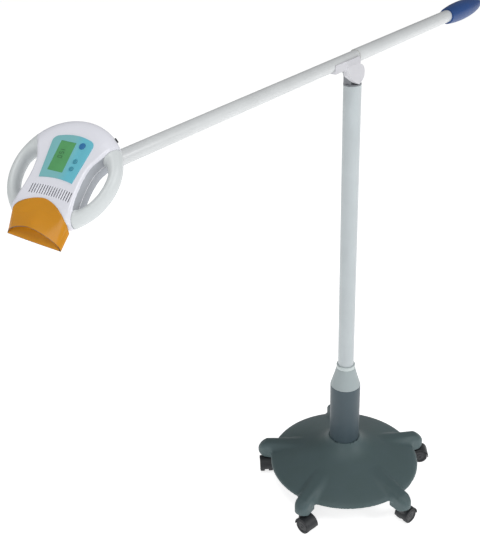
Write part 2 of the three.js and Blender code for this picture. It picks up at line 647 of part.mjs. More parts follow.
function fanFrame() {
  const z0 = -HEAD.halfT + HEAD.wall + REST;
  const block = box(-25, 25, -25, 25, z0, z0 + FAN.depth);
  const hole = disc(21, z0 - 1, z0 + FAN.depth + 1, ROUND);
  const spider = join(disc(8, z0 + 10.4, z0 + FAN.depth, SMALL), box(-23, 23, -2, 2, z0 + 10.4, z0 + FAN.depth),
    box(-2, 2, -23, 23, z0 + 10.4, z0 + FAN.depth));
  return join(cut(block, hole), spider).translate(FAN.x, FAN.y, 0);
}

function buildHead(group) {
  part(group, "front_shell", frontShell(), LOOK.shell());
  part(group, "rear_shell", rearShell(), LOOK.shell());
  part(group, "right_handle", handle(false), LOOK.grip());
  part(group, "left_handle", handle(true), LOOK.grip());
  part(group, "control_panel", panelOverlay(), LOOK.teal());
  const top = HEAD.halfT + 1;
  const window = box(LCD.x0 + 0.05, LCD.x1 - 0.05, LCD.y0 + 0.05, LCD.y1 - 0.05, HEAD.halfT + REST, top);
  part(group, "lcd_window", window, LOOK.lcd());
  BUTTONS.forEach(([name, x, y, r]) => {
    const look = name === "power_button" ? LOOK.power() : LOOK.button();
    part(group, name, disc(r, 17.6, HEAD.halfT + 2.2, SMALL).translate(x, y, 0), look);
  });
  part(group, "control_board", box(-40, 40, -22, 66, 14, 15.6), LOOK.board());
  part(group, "heat_sink", heatSink(), LOOK.aluminium());
  part(group, "led_board", box(-40, 40, SINK.y0 - 2, SINK.y0, -12, 14), LOOK.board());
  part(group, "outlet_window", box(
    -OUTLET.halfW + REST, OUTLET.halfW - REST, -100, -98, OUTLET.z0 + REST, OUTLET.z1 - REST,
  ), LOOK.lens());
  part(group, "fan_frame", fanFrame(), LOOK.dark());
  part(group, "fan_rotor", fanRotor(), LOOK.dark());
  part(group, "light_shield", shield(), LOOK.shield());
  const { r, z0, z1 } = INLET;
  const inlet = inletSolid([[0, z0], [r, z0], [r, z1 - 2], [r - 1, z1], [2, z1], [2, z0 + 3], [0, z0 + 3]]);
  part(group, "power_inlet", inlet, LOOK.dark());
}

// ---------------------------------------------------------------- assembly
const group = new THREE.Group();
buildBase(group);
for (let i = 0; i < LEG.count; i += 1) buildCastor(group, i);
buildJoint(group);
buildArm(group);

const rolled = new THREE.Group();
rolled.position.set(0, 0, ARM_Z);
rolled.rotation.x = HEAD_ROLL;
part(rolled, "head_socket", headSocket(), LOOK.joint());
group.add(rolled);

const yawed = new THREE.Group();
yawed.position.set(EYE_X, 0, 0);
yawed.rotation.z = HEAD_YAW;
part(yawed, "head_knuckle", headKnuckle(), LOOK.joint());
const pinTop = EYE.halfT + KNUCKLE.gap + KNUCKLE.plateT;
part(yawed, "turn_pin", disc(EYE.pinR, -pinTop, pinTop, SMALL), LOOK.steel());
rolled.add(yawed);

const head = new THREE.Group();
const right = new THREE.Vector3(0, -1, 0);
const out = new THREE.Vector3(-Math.cos(HEAD_LIFT), 0, Math.sin(HEAD_LIFT));
const up = new THREE.Vector3().crossVectors(out, right);
const offset = new THREE.Vector3().addScaledVector(right, HEAD.side).addScaledVector(up, HEAD.up);
offset.addScaledVector(out, -HEAD.back);
head.quaternion.setFromRotationMatrix(new THREE.Matrix4().makeBasis(right, up, out));
head.position.set(-KNUCKLE.reach, 0, 0).sub(offset);
buildHead(head);
const pinHalf = KNUCKLE.halfLen + KNUCKLE.gap + HEAD.lugT;
const tiltPin = alongX(disc(KNUCKLE.pinR, HEAD.side - pinHalf, HEAD.side + pinHalf, SMALL));
tiltPin.translate(0, HEAD.up, -HEAD.back);
part(head, "tilt_pin", tiltPin, LOOK.steel());
yawed.add(head);

export default group;
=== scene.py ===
"""Looks of a teeth whitening lamp on a mobile stand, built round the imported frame.

Shapes are worked out in millimetres, and become metres when a mesh is made.
"""
import math

import bmesh
import bpy
import numpy as np
from mathutils import Matrix, Vector


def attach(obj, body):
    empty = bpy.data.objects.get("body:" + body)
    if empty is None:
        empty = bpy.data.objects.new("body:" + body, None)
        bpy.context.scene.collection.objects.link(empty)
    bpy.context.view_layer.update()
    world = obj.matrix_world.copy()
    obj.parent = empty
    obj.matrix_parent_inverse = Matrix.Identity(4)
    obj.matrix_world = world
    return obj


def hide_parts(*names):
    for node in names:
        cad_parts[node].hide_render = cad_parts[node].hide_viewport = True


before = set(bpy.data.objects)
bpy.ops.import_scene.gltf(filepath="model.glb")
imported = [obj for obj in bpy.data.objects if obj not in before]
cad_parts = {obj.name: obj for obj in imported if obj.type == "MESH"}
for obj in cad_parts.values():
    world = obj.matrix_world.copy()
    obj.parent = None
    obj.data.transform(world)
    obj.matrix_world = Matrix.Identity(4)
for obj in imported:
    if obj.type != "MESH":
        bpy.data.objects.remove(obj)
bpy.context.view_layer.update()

# ---------------------------------------------------------------- driving dimensions
MM = 0.001

# base
RIM_R, RIM_Z, NECK_R, NECK_Z = 245, 86, 50.5, 190
DOME = [
    (RIM_R, RIM_Z), (240, 95), (222, 104), (180, 119), (130, 136), (90, 151), (66, 166), (54, 180),
    (NECK_R, NECK_Z),
]
DOME_WALL, CAVITY_R = 5, 237
LEG_COUNT, LEG_FIRST_DEG, LEG_START_R, LEG_END_R = 5, 183.2, 168, 271
LEG_HALF_W, LEG_CAP_R, LEG_BOTTOM_Z, LEG_TOP_Z = 24, 26, 58, 123
TRAIL_DEG = [-101, -11, -55, 21, -141]
COLUMN_R, COLUMN_WALL, COLUMN_Z0, COLUMN_Z1 = 48, 4, 150, 392
CONE_R, CONE_Z = 29.5, 457
RING_R, RING_Z0, RING_Z1 = 29.5, 457.3, 470
POLE_R, POLE_WALL, POLE_Z0, POLE_Z1 = 25, 2.8, 92, 1373

# castors
WHEEL_R, WHEEL_W, WEB_T, WHEEL_GAP = 25, 15, 13, 0.4
HOOD_IN, HOOD_OUT, TRAIL, STEM_R, STEM_TOP, AXLE_R = 26.4, 29.4, 18, 5.5, 92, 4

# swivel and tilt joint
HINGE_Z, PIN_R, PIN_Y0, NUT_Y0, NUT_T, NUT_R = 1403.8, 6, -19, 19.4, 7, 10.5
SWIVEL_Z0, SWIVEL_Z1, SPIGOT_R, SPIGOT_Z = 1373.6, 1376.6, 16, 1316
NECK_EYE_R, NECK_Y0, NECK_Y1 = 21, -7.6, 19
CHEEK_R, CHEEK_Y0, CHEEK_Y1, WEB_X, FOOT_X, FOOT_Z, BEVEL_Z = 26.6, -25, -8, -68, -58, 1409.5, 1436
SADDLE_X0, SADDLE_X1, SADDLE_HALF_W, SADDLE_Z0, SADDLE_Z1 = -115, 3, 19.5, 1428.6, 1453
CREASE_X, CREASE_DEPTH, WEB_FILLET = -2, 2.5, 6

# arm
ARM_Z = 1447
FRONT_R, FRONT_WALL, FRONT_X0, FRONT_X1 = 16.4, 2.2, -893, 150
REAR_R, REAR_WALL, REAR_X0, REAR_X1 = 18.6, 1.6, 10, 600
CAP_X0, CAP_X1, CAP_R = 555, 793, 29.5

# head joints
HEAD_ROLL, HEAD_YAW, HEAD_LIFT = (math.radians(a) for a in (3.1, 10.3, 51.5))
EYE_X, EYE_R, EYE_HALF_T, EYE_PIN_R, EYE_COLLAR_R = -925, 15, 7, 5, 18
REACH, BARREL_R, BARREL_HALF, EAR_T, EAR_GAP, TILT_PIN_R = 30, 11, 10, 6, 0.3, 4

# head, in its own frame: x to the right, y up the panel, z out of the face
HEAD_R, HEAD_HALF_T, HEAD_FLAT_R, HEAD_WALL = 116, 25, 78, 3
HEAD_SIDE, HEAD_UP, HEAD_BACK, STEM_BELOW = 20, 51, 55, 14
BODY_SIDE = [
    (104, 126), (99, 96), (88, 70), (72, 38), (63, 21), (59, 4), (58, -18), (60, -48), (67, -90), (71, -124),
]
GRIP_FROM, GRIP_TO, GRIP_HALF_T, GRIP_HALF_W = -62, 48, 17, 11.5
GRIP_LOW = {"deg": -7, "grow": 7, "thicken": 4, "bend": 3}
GRIP_HIGH = {"deg": 8, "grow": 15, "thicken": 7, "bend": 1.5}
LCD_X0, LCD_X1, LCD_Y0, LCD_Y1 = -23, 11, -5, 59
KEYS = {"power": (26, 55, 6.5), "time": (26.5, 22, 4.5), "start": (25.5, 6, 4.5)}
SLITS, SLIT_PITCH, SLIT_W, SLIT_L, SLIT_X, SLIT_Y, SLIT_BOW = 17, 5.5, 2, 20, 5.5, -44.5, 0.0015
HOLE_FLOOR_Z = 15
FAN_X, FAN_Y, FAN_R = -14, -6, 23
OUTLET_HALF_W, OUTLET_Y, OUTLET_Z0, OUTLET_Z1 = 46, -95, 1, 15
INLET_DEG, INLET_R, INLET_D0, INLET_D1 = 53, 5, 108, 119
SHIELD_WALL, SHIELD_BOW, SHIELD_CLEAR, SHIELD_TURN_DEG, SHIELD_PIVOT_Y = 2.4, 2, 1.2, -3.5, -100
SHIELD_FACE = {
    "half_w": 66.2, "power": 1.18, "y": -102.6, "rise": 40.9, "bend": 1.44, "z": 0.8, "top": 26.2,
    "arch": 0.84,
}
SHIELD_MOUTH = {
    "half_w": 63.2, "power": 1.31, "y": -137.9, "rise": 15.6, "bend": 1, "z": -6.8, "top": 25.2, "arch": 1.31,
}


# ---------------------------------------------------------------- frames
def moved(x=0, y=0, z=0):
    return Matrix.Translation(Vector((x, y, z)) * MM)


ARM_FRAME = moved(z=ARM_Z)
ROLLED = ARM_FRAME @ Matrix.Rotation(HEAD_ROLL, 4, "X")
YAWED = ROLLED @ moved(EYE_X) @ Matrix.Rotation(HEAD_YAW, 4, "Z")
HEAD_RIGHT = Vector((0, -1, 0))
HEAD_OUT = Vector((-math.cos(HEAD_LIFT), 0, math.sin(HEAD_LIFT)))
HEAD_UPWARD = HEAD_OUT.cross(HEAD_RIGHT)
HEAD_TURN = Matrix((HEAD_RIGHT, HEAD_UPWARD, HEAD_OUT)).transposed().to_4x4()
HEAD_FRAME = YAWED @ moved(-REACH) @ HEAD_TURN @ moved(-HEAD_SIDE, -HEAD_UP, HEAD_BACK)
ALONG_X = Matrix.Rotation(math.pi / 2, 4, "Y")
ALONG_Y = Matrix.Rotation(-math.pi / 2, 4, "X")


# ---------------------------------------------------------------- meshes
def make(name, verts, faces, place=None, sharp_deg=40):
    """An object from points in millimetres, smooth but for edges sharper than sharp_deg."""
    mesh = bpy.data.meshes.new(name)
    mesh.from_pydata((np.asarray(verts, float) * MM).tolist(), [], [list(f) for f in faces])
    mesh.validate()
    if place is not None:
        mesh.transform(place)
    mesh.shade_smooth()
    mesh.set_sharp_from_angle(angle=math.radians(sharp_deg))
    return put_in_scene(name, mesh)


def put_in_scene(name, mesh):
    obj = bpy.data.objects.new(name, mesh)
    bpy.context.scene.collection.objects.link(obj)
    return obj


def finish_piece(obj, body, materials, nodes=()):
    """Puts a piece on its body, with its materials and the CAD nodes that it stands for."""
    for m in materials if isinstance(materials, (list, tuple)) else [materials]:
        obj.data.materials.append(m)
    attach(obj, body)
    if nodes:
        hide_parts(*nodes)
    return obj


def catmull(points, steps):
    """Points along a smooth curve through the given points."""
    p = np.array([points[0], *points, points[-1]], float)
    out = []
    for i in range(len(points) - 1):
        a, b, c, d = p[i:i + 4]
        for t in np.linspace(0, 1, steps, endpoint=False):
            bend = (2 * a - 5 * b + 4 * c - d) * t * t
            twist = (3 * b - a - 3 * c + d) * t ** 3
            out.append(0.5 * (2 * b + (c - a) * t + bend + twist))
    return out + [np.array(points[-1], float)]


def eased(points, radius, steps=4):
    """A closed outline with each corner rounded by radius, or by what its sides leave room for."""
    p = [np.array(q, float) for q in points]
    radii = radius if isinstance(radius, (list, tuple)) else [radius] * len(p)
    out = []
    for i, q in enumerate(p):
        before, after = p[i - 1] - q, p[(i + 1) % len(p)] - q
        la, lb = np.linalg.norm(before), np.linalg.norm(after)
        cut = min(radii[i], 0.45 * la, 0.45 * lb)
        if cut < 1e-3 or abs(q[0]) < 1e-6:
            out.append(q)
            continue
        start, end = q + before / la * cut, q + after / lb * cut
        for t in np.linspace(0, 1, steps + 1):
            out.append((1 - t) ** 2 * start + 2 * t * (1 - t) * q + t * t * end)
    return out


def turned(name, outline, place=None, around=96, sharp_deg=40):
    """A turned solid about Z from a closed outline of (radius, height) points."""
    outline = [tuple(q) for q in outline]
    verts, rows = [], []
    for r, z in outline:
        if r < 1e-6:
            rows.append([len(verts)] * around)
            verts.append((0, 0, z))
            continue
        rows.append(list(range(len(verts), len(verts) + around)))
        for i in range(around):
            a = 2 * math.pi * i / around
            verts.append((r * math.cos(a), r * math.sin(a), z))
    faces = []
    for j in range(len(rows)):
        lower, upper = rows[j], rows[(j + 1) % len(rows)]
        for i in range(around):
            k = (i + 1) % around
            corners = [lower[i], lower[k], upper[k], upper[i]]
            corners = [c for n, c in enumerate(corners) if c != corners[n - 1]]
            if len(corners) > 2:
                faces.append(corners)
    obj = make(name, verts, faces, place, sharp_deg)
    outwards(obj.data)
    return obj


def outwards(mesh):
    bm = bmesh.new()
    bm.from_mesh(mesh)
    bmesh.ops.recalc_face_normals(bm, faces=bm.faces)
    bm.to_mesh(mesh)
    bm.free()


def plate(name, outline, z0, z1, bevel, place=None, holes=()):
    """A flat sheet of the given outline with rounded edges."""
    curve = bpy.data.curves.new(name, "CURVE")
    curve.dimensions = "2D"
    curve.fill_mode = "BOTH"
    curve.extrude = ((z1 - z0) / 2 - bevel) * MM
    curve.bevel_depth = bevel * MM
    curve.bevel_resolution = 3
    curve.offset = -bevel * MM
    for line in [outline, *holes]:
        spline = curve.splines.new("POLY")
        spline.points.add(len(line) - 1)
        for p, (x, y) in zip(spline.points, line):
            p.co = (x * MM, y * MM, 0, 1)
        spline.use_cyclic_u = True
    holder = bpy.data.objects.new(name + "_outline", curve)
    bpy.context.scene.collection.objects.link(holder)
    bpy.context.view_layer.update()
    mesh = bpy.data.meshes.new_from_object(holder)
    bpy.data.objects.remove(holder)
    bpy.data.curves.remove(curve)
    mesh.name = name
    mesh.transform((place or Matrix()) @ moved(z=(z0 + z1) / 2))
    bm = bmesh.new()
    bm.from_mesh(mesh)
    bmesh.ops.remove_doubles(bm, verts=bm.verts, dist=1e-6)
    bm.to_mesh(mesh)
    bm.free()
    mesh.shade_smooth()
    mesh.set_sharp_from_angle(angle=math.radians(35))
    return put_in_scene(name, mesh)


# ---------------------------------------------------------------- fields
# A field gives the distance from a surface, less than zero inside. Solids with blends are
# written as fields, and meshed on a grid.
def join_round(a, b, r):
    """Both solids, with a fillet of radius r where they meet."""
    return np.maximum(r, np.minimum(a, b)) - np.hypot(np.maximum(r - a, 0), np.maximum(r - b, 0))


def cut_round(a, b, r):
    """What is inside both, with its edge rounded by radius r."""
    return np.minimum(-r, np.maximum(a, b)) + np.hypot(np.maximum(a + r, 0), np.maximum(b + r, 0))


def slab(v, low, high):
    return np.maximum(low - v, v - high)


def rod(a, b, h, r, low, high, ease=0.6):
    """A round bar: a and b are measured across it, h along it."""
    return cut_round(np.hypot(a, b) - r, slab(h, low, high), ease)


def brick(x, y, z, box, ease=0.6):
    x0, x1, y0, y1, z0, z1 = box
    return cut_round(cut_round(slab(x, x0, x1), slab(y, y0, y1), ease), slab(z, z0, z1), ease)


def field_mesh(name, field, low, high, step, place=None, sharp_deg=50, pulls=3):
    """Meshes a field: one point per grid cell that the surface crosses, pulled onto the surface."""
    low = np.array(low, float)
    n = np.ceil((np.array(high, float) - low) / step).astype(int) + 1
    axes = [low[i] + step * np.arange(n[i]) for i in range(3)]
    grid = np.meshgrid(*axes, indexing="ij", sparse=True)
    value = np.array(np.broadcast_to(field(*grid), n), np.float64)
    cells = n - 1
    stride = np.array([cells[1] * cells[2], cells[2], 1])
    total = np.zeros((int(np.prod(cells)), 3))
    count = np.zeros(int(np.prod(cells)))
    quads = []
    for a in range(3):
        b, c = (a + 1) % 3, (a + 2) % 3
        first = value[tuple(slice(0, -1) if i == a else slice(None) for i in range(3))]
        second = value[tuple(slice(1, None) if i == a else slice(None) for i in range(3))]
        at = np.argwhere((first < 0) != (second < 0))
        at = at[np.all([(at[:, i] > 0) & (at[:, i] < cells[i]) for i in (b, c)], axis=0)]
        va, vb = first[tuple(at.T)], second[tuple(at.T)]
        crossing = at.astype(float)
        crossing[:, a] += va / (va - vb)
        corner = []
        for db, dc in ((1, 1), (0, 1), (0, 0), (1, 0)):
            cell = at.copy()
            cell[:, b] -= db
            cell[:, c] -= dc
            index = cell @ stride
            corner.append(index)
            for i in range(3):
                total[:, i] += np.bincount(index, crossing[:, i], len(count))
            count += np.bincount(index, minlength=len(count))
        quad = np.stack(corner, 1)
        quad[va >= 0] = quad[va >= 0][:, ::-1]
        quads.append(quad)
    used = np.flatnonzero(count)
    number = np.zeros(len(count), int)
    number[used] = np.arange(len(used))
    points = low + step * total[used] / count[used][:, None]
    h = 0.2 * step
    for _ in range(pulls):
        f = field(*points.T)
        rise = [field(*(points + h * e).T) - field(*(points - h * e).T) for e in np.eye(3)]
        slope = np.stack([q / (2 * h) for q in rise], 1)
        pull = -f[:, None] * slope / np.maximum((slope ** 2).sum(1), 0.05)[:, None]
        size = np.linalg.norm(pull, axis=1, keepdims=True)
        points = points + pull * np.minimum(1, 0.4 * step / np.maximum(size, 1e-9))
    return make(name, points, number[np.concatenate(quads)].tolist(), place, sharp_deg)


# ---------------------------------------------------------------- materials
def linear(rgb):
    return tuple(((c / 255 + 0.055) / 1.055) ** 2.4 if c > 10 else c / 255 / 12.92 for c in rgb)


def finish_of(
    name, rgb, rough, grain=0.0, grain_scale=900, tint=0.04, tint_scale=14, rough_var=0.05, metal=0.0,
    coat=0.0, other=None,
):
    """A moulded or painted surface: slow changes of shade, uneven gloss and a fine grain in the relief."""
    m = bpy.data.materials.new(name)
    m.use_nodes = True
    nodes, links = m.node_tree.nodes, m.node_tree.links
    shader = nodes["Principled BSDF"]
    place = nodes.new("ShaderNodeTexCoord").outputs["Object"]
    cloud = nodes.new("ShaderNodeTexNoise")
    cloud.inputs["Scale"].default_value = tint_scale
    cloud.inputs["Detail"].default_value = 5
    links.new(place, cloud.inputs["Vector"])
    ramp = nodes.new("ShaderNodeValToRGB")
    colour = linear(rgb)
    ramp.color_ramp.elements[0].position = 0.3
    ramp.color_ramp.elements[1].position = 0.7
    ramp.color_ramp.elements[0].color = (*(c * (1 - tint) for c in colour), 1)
    ramp.color_ramp.elements[1].color = (*((linear(other) if other else [c * (1 + tint) for c in colour])), 1)
    links.new(cloud.outputs["Fac"], ramp.inputs["Fac"])
    links.new(ramp.outputs["Color"], shader.inputs["Base Color"])
    wear = nodes.new("ShaderNodeTexNoise")
    wear.inputs["Scale"].default_value = tint_scale * 6
    wear.inputs["Detail"].default_value = 6
    links.new(place, wear.inputs["Vector"])
    spread = nodes.new("ShaderNodeMapRange")
    spread.inputs["To Min"].default_value = max(0.02, rough - rough_var)
    spread.inputs["To Max"].default_value = rough + rough_var
    links.new(wear.outputs["Fac"], spread.inputs["Value"])
    links.new(spread.outputs["Result"], shader.inputs["Roughness"])
    if grain:
        fine = nodes.new("ShaderNodeTexNoise")
        fine.inputs["Scale"].default_value = grain_scale
        fine.inputs["Detail"].default_value = 3
        links.new(place, fine.inputs["Vector"])
        relief = nodes.new("ShaderNodeBump")
        relief.inputs["Strength"].default_value = grain
        relief.inputs["Distance"].default_value = 0.0004
        links.new(fine.outputs["Fac"], relief.inputs["Height"])
        links.new(relief.outputs["Normal"], shader.inputs["Normal"])
    shader.inputs["Metallic"].default_value = metal
    shader.inputs["Coat Weight"].default_value = coat
    shader.inputs["Coat Roughness"].default_value = 0.2
    return m


SLATE = finish_of("slate_plastic", (78, 97, 100), 0.55, grain=0.25, other=(74, 93, 94))
SLATE_METAL = finish_of("slate_metal", (64, 80, 88), 0.42, grain=0.12, rough_var=0.04)
IRON = finish_of("cast_iron", (62, 64, 66), 0.75, grain=0.6, grain_scale=500, metal=0.4)
STEEL = finish_of("steel", (190, 192, 195), 0.3, grain=0.05, metal=1.0)
COLLAR = finish_of("collar_plastic", (162, 173, 175), 0.45, grain=0.1)
RING = finish_of("ring_plastic", (196, 206, 206), 0.35)
POLE_PAINT = finish_of("pole_paint", (184, 192, 195), 0.32, grain=0.08, coat=0.3)
ARM_PAINT = finish_of("arm_paint", (205, 208, 209), 0.36, grain=0.08, coat=0.2)
JOINT = finish_of("joint_metal", (199, 199, 204), 0.42, grain=0.15)
# painted shade: a darker grey for the swivel neck, standing in for the shadow under the arm and bracket
NECK_PAINTED_SHADE = finish_of("neck_painted_shade", (132, 135, 140), 0.5, grain=0.15)
NYLON = finish_of("nylon", (226, 224, 215), 0.6)
CAP_BLUE = finish_of("cap_blue", (18, 64, 124), 0.42, grain=0.3, grain_scale=1400, tint=0.07)
# painted shade: a darker grey on the waist walls of the case, standing in for the shade beside the grips
WAIST_PAINTED_SHADE = finish_of("waist_painted_shade", (172, 176, 183), 0.4, grain=0.06, tint=0.02)
SHELL = finish_of("shell_white", (228, 229, 237), 0.34, grain=0.06, tint=0.015, coat=0.15)
GRIP = finish_of("grip_grey", (206, 211, 212), 0.4, grain=0.15, tint=0.02)
BOARD = finish_of("circuit_board", (32, 90, 56), 0.6)
HEAT_SINK = finish_of("heat_sink", (170, 174, 178), 0.4, metal=0.8)
CASTOR = finish_of("castor_black", (42, 45, 48), 0.5, grain=0.2)
TREAD = finish_of("castor_tread", (38, 40, 43), 0.7, grain=0.4)
SEAM = finish_of("seam", (235, 236, 240), 0.4)
PANEL_RGB, PANEL_RIGHT_RGB, SHIELD_RGB = (124, 186, 190), (104, 188, 206), (228, 157, 40)


# ---------------------------------------------------------------- fields from outlines
def polygon_table(points, low, high, step):
    """Distances from a closed outline on a flat grid, as a function of radius and height."""
    p = np.array(points, float)
    q = np.roll(p, -1, axis=0)
    n = np.ceil((np.array(high) - np.array(low)) / step).astype(int) + 1
    u = (low[0] + step * np.arange(n[0]))[:, None]
    v = (low[1] + step * np.arange(n[1]))[None, :]
    best = np.full(n, 1e9)
    crossings = np.zeros(n, int)
    for (ax, ay), (bx, by) in zip(p, q):
        dx, dy = bx - ax, by - ay
        t = np.clip(((u - ax) * dx + (v - ay) * dy) / max(dx * dx + dy * dy, 1e-12), 0, 1)
        best = np.minimum(best, np.hypot(u - ax - t * dx, v - ay - t * dy))
        if ay != by:
            hit = ((ay > v) != (by > v)) & (u < ax + (v - ay) / (by - ay) * dx)
            crossings += hit
    table = np.where(crossings % 2 == 1, -best, best)

    def read(a, b):
        a, b = np.broadcast_arrays(a, b)
        i = np.clip((a - low[0]) / step, 0, n[0] - 1.001)
        j = np.clip((b - low[1]) / step, 0, n[1] - 1.001)
        i0, j0 = i.astype(int), j.astype(int)
        fi, fj = i - i0, j - j0
        lower = table[i0, j0] * (1 - fi) + table[i0 + 1, j0] * fi
        upper = table[i0, j0 + 1] * (1 - fi) + table[i0 + 1, j0 + 1] * fi
        return lower * (1 - fj) + upper * fj

    return read


# ---------------------------------------------------------------- base
def leg_angle(i):
    return math.radians(LEG_FIRST_DEG + 360 / LEG_COUNT * i)


def base_cover():
    profile = catmull(DOME, 8)
    inner = [(r - DOME_WALL, z - DOME_WALL) for r, z in profile]
    dome = polygon_table([(0, RIM_Z), *profile, (0, NECK_Z)], (0, 30), (330, 230), 1.5)
    room = [(0, 30), (CAVITY_R, 30), (CAVITY_R, RIM_Z - 1), *inner[1:], (0, NECK_Z - DOME_WALL)]
    hollow = polygon_table(room, (0, 20), (330, 230), 1.5)

    def leg(x, y, z, i):
        a = leg_angle(i)
        s = x * math.cos(a) + y * math.sin(a)
        w = y * math.cos(a) - x * math.sin(a)
        over = np.maximum(0, s - LEG_END_R)
        plan = np.hypot(over, w * LEG_CAP_R / LEG_HALF_W) - LEG_CAP_R
        top = LEG_TOP_Z - 0.0011 * (s - LEG_START_R) ** 2 - 0.35 * over
        solid = cut_round(plan, z - top, 17)
        solid = cut_round(solid, LEG_BOTTOM_Z + 0.4 * over - z, 3)
        return np.maximum(solid, LEG_START_R - 50 - s)

    def field(x, y, z):
        r = np.hypot(x, y)
        solid = dome(r, z)
        for i in range(LEG_COUNT):
            solid = join_round(solid, leg(x, y, z, i), 16)
        solid = np.maximum(solid, -hollow(r, z))
        return np.maximum(solid, COLUMN_R + 0.3 - r)

    obj = field_mesh("base_cover_skin", field, (-303, -303, 52), (303, 303, 196), 3.0)
    return finish_piece(obj, "stand", SLATE, ["base_cover"])


def tube_outline(r, wall, low, high, ease):
    """Half section of a plain tube with its end edges rounded by ease."""
    return eased([(r - wall, low), (r, low), (r, high), (r - wall, high)], ease)


def column_and_pole():
    sleeve = tube_outline(COLUMN_R, COLUMN_WALL, COLUMN_Z0, COLUMN_Z1, 1.6)
    finish_piece(turned("column_skin", sleeve), "stand", SLATE_METAL, ["column_sleeve"])
    cone = eased([
        (POLE_R + 0.4, CONE_Z - 4), (POLE_R + 0.4, CONE_Z), (CONE_R, CONE_Z), (34, CONE_Z - 18),
        (40.5, CONE_Z - 40), (COLUMN_R - 0.6, COLUMN_Z1 + 2), (COLUMN_R - 0.6, COLUMN_Z1),
        (COLUMN_R - 7, COLUMN_Z1), (37, CONE_Z - 42), (30, CONE_Z - 18),
    ], [0.5, 0.5, 1.2, 8, 8, 0.8, 0.4, 1, 4, 4], 6)
    finish_piece(turned("cone_skin", cone), "stand", COLLAR, ["cone_collar"])
    bore = POLE_R + 0.1
    ring = eased([(bore, RING_Z0), (RING_R, RING_Z0), (RING_R, RING_Z1), (bore, RING_Z1)], [0.4, 1, 2.5, 0.6])
    finish_piece(turned("ring_skin", ring), "stand", RING, ["pole_ring"])
    pole = tube_outline(POLE_R, POLE_WALL, POLE_Z0, POLE_Z1, 1)
    finish_piece(turned("pole_skin", pole), "stand", POLE_PAINT, ["pole"])


def castors():
    half_hood = WEB_T / 2 + WHEEL_GAP + WHEEL_W + 1

    def body(x, y, z):
        r = np.hypot(x - TRAIL, z - WHEEL_R)
        band = np.abs(r - (HOOD_IN + HOOD_OUT) / 2) - (HOOD_OUT - HOOD_IN) / 2
        hood = cut_round(band, np.abs(y) - half_hood, 1.4)
        web = np.maximum(r - HOOD_IN - 1, np.abs(y) - WEB_T / 2)
        shell = cut_round(np.minimum(hood, web), WHEEL_R - 2 - z, 1.0)
        boss = rod(x, y, z, 12, 44, LEG_BOTTOM_Z - 0.4, 1)
        shell = join_round(shell, boss, 3)
        shell = np.minimum(shell, rod(x, y, z, STEM_R, 50, STEM_TOP))
        shell = np.minimum(shell, rod(x - TRAIL, z - WHEEL_R, y, 9, -WEB_T / 2, WEB_T / 2))
        room = cut_round(r - HOOD_IN, WEB_T / 2 - np.abs(y), 0.5)
        room = np.maximum(room, np.abs(y) - WEB_T / 2 - WHEEL_W - WHEEL_GAP - 0.2)
        shell = np.maximum(shell, -room)
        return np.maximum(shell, AXLE_R + 0.05 - r)

    hood = field_mesh("castor_hood", body, (-16, -26, 18), (52, 26, 96), 1.3)
    y0 = WEB_T / 2 + WHEEL_GAP
    y1 = y0 + WHEEL_W
    tread = eased([
        (AXLE_R + 0.2, y0), (WHEEL_R - 9, y0), (WHEEL_R, y0), (WHEEL_R, y1), (WHEEL_R - 8, y1),
        (WHEEL_R - 9.5, y1 - 1.8), (10, y1 - 1.8), (8.5, y1 - 0.4), (AXLE_R + 0.2, y1 - 0.4),
    ], [0.4, 0, 2, 4.5, 1, 1, 1, 0.8, 0.4], 6)
    wheel = turned("castor_roll", tread, around=72)
    for i, f in enumerate(wheel.data.polygons):
        f.material_index = 0 if (f.center.xy.length > (WHEEL_R - 9.2) * MM) else 1
    for obj, mats in ((hood, [CASTOR]), (wheel, [TREAD, CASTOR])):
        for m in mats:
            obj.data.materials.append(m)
    for i in range(LEG_COUNT):
        a = leg_angle(i)
        turn = Matrix.Rotation(math.radians(TRAIL_DEG[i]), 4, "Z")
        place = moved(LEG_END_R * math.cos(a), LEG_END_R * math.sin(a)) @ turn
        k = i + 1
        piece = put_in_scene(f"castor_{k}_hood", hood.data.copy())
        piece.data.transform(place)
        finish_piece(piece, f"castor_{k}", [], [f"castor_{k}_body"])
        for side, tip in (("left", -math.pi / 2), ("right", math.pi / 2)):
            piece = put_in_scene(f"castor_{k}_roll_{side}", wheel.data.copy())
            piece.data.transform(place @ moved(TRAIL, 0, WHEEL_R) @ Matrix.Rotation(tip, 4, "X"))
            finish_piece(piece, f"castor_{k}_{side}", [], [f"castor_{k}_wheel_{side}"])
    bpy.data.objects.remove(hood)
    bpy.data.objects.remove(wheel)


# ---------------------------------------------------------------- swivel and tilt joint
def cheek_outline():
    """Side view of the bracket's cheek: a sloping web that runs into a round eye."""
    drop = FOOT_Z - HINGE_Z
    start = math.atan2(drop, FOOT_X) + math.acos(CHEEK_R / math.hypot(FOOT_X, drop))
    end = 2.5 * math.pi - math.asin(SADDLE_X1 / CHEEK_R)
    arc = [(CHEEK_R * math.cos(a), HINGE_Z + CHEEK_R * math.sin(a)) for a in np.linspace(start, end, 40)]
    return [(WEB_X, SADDLE_Z1), (FOOT_X, FOOT_Z), *arc, (SADDLE_X1, SADDLE_Z1)]


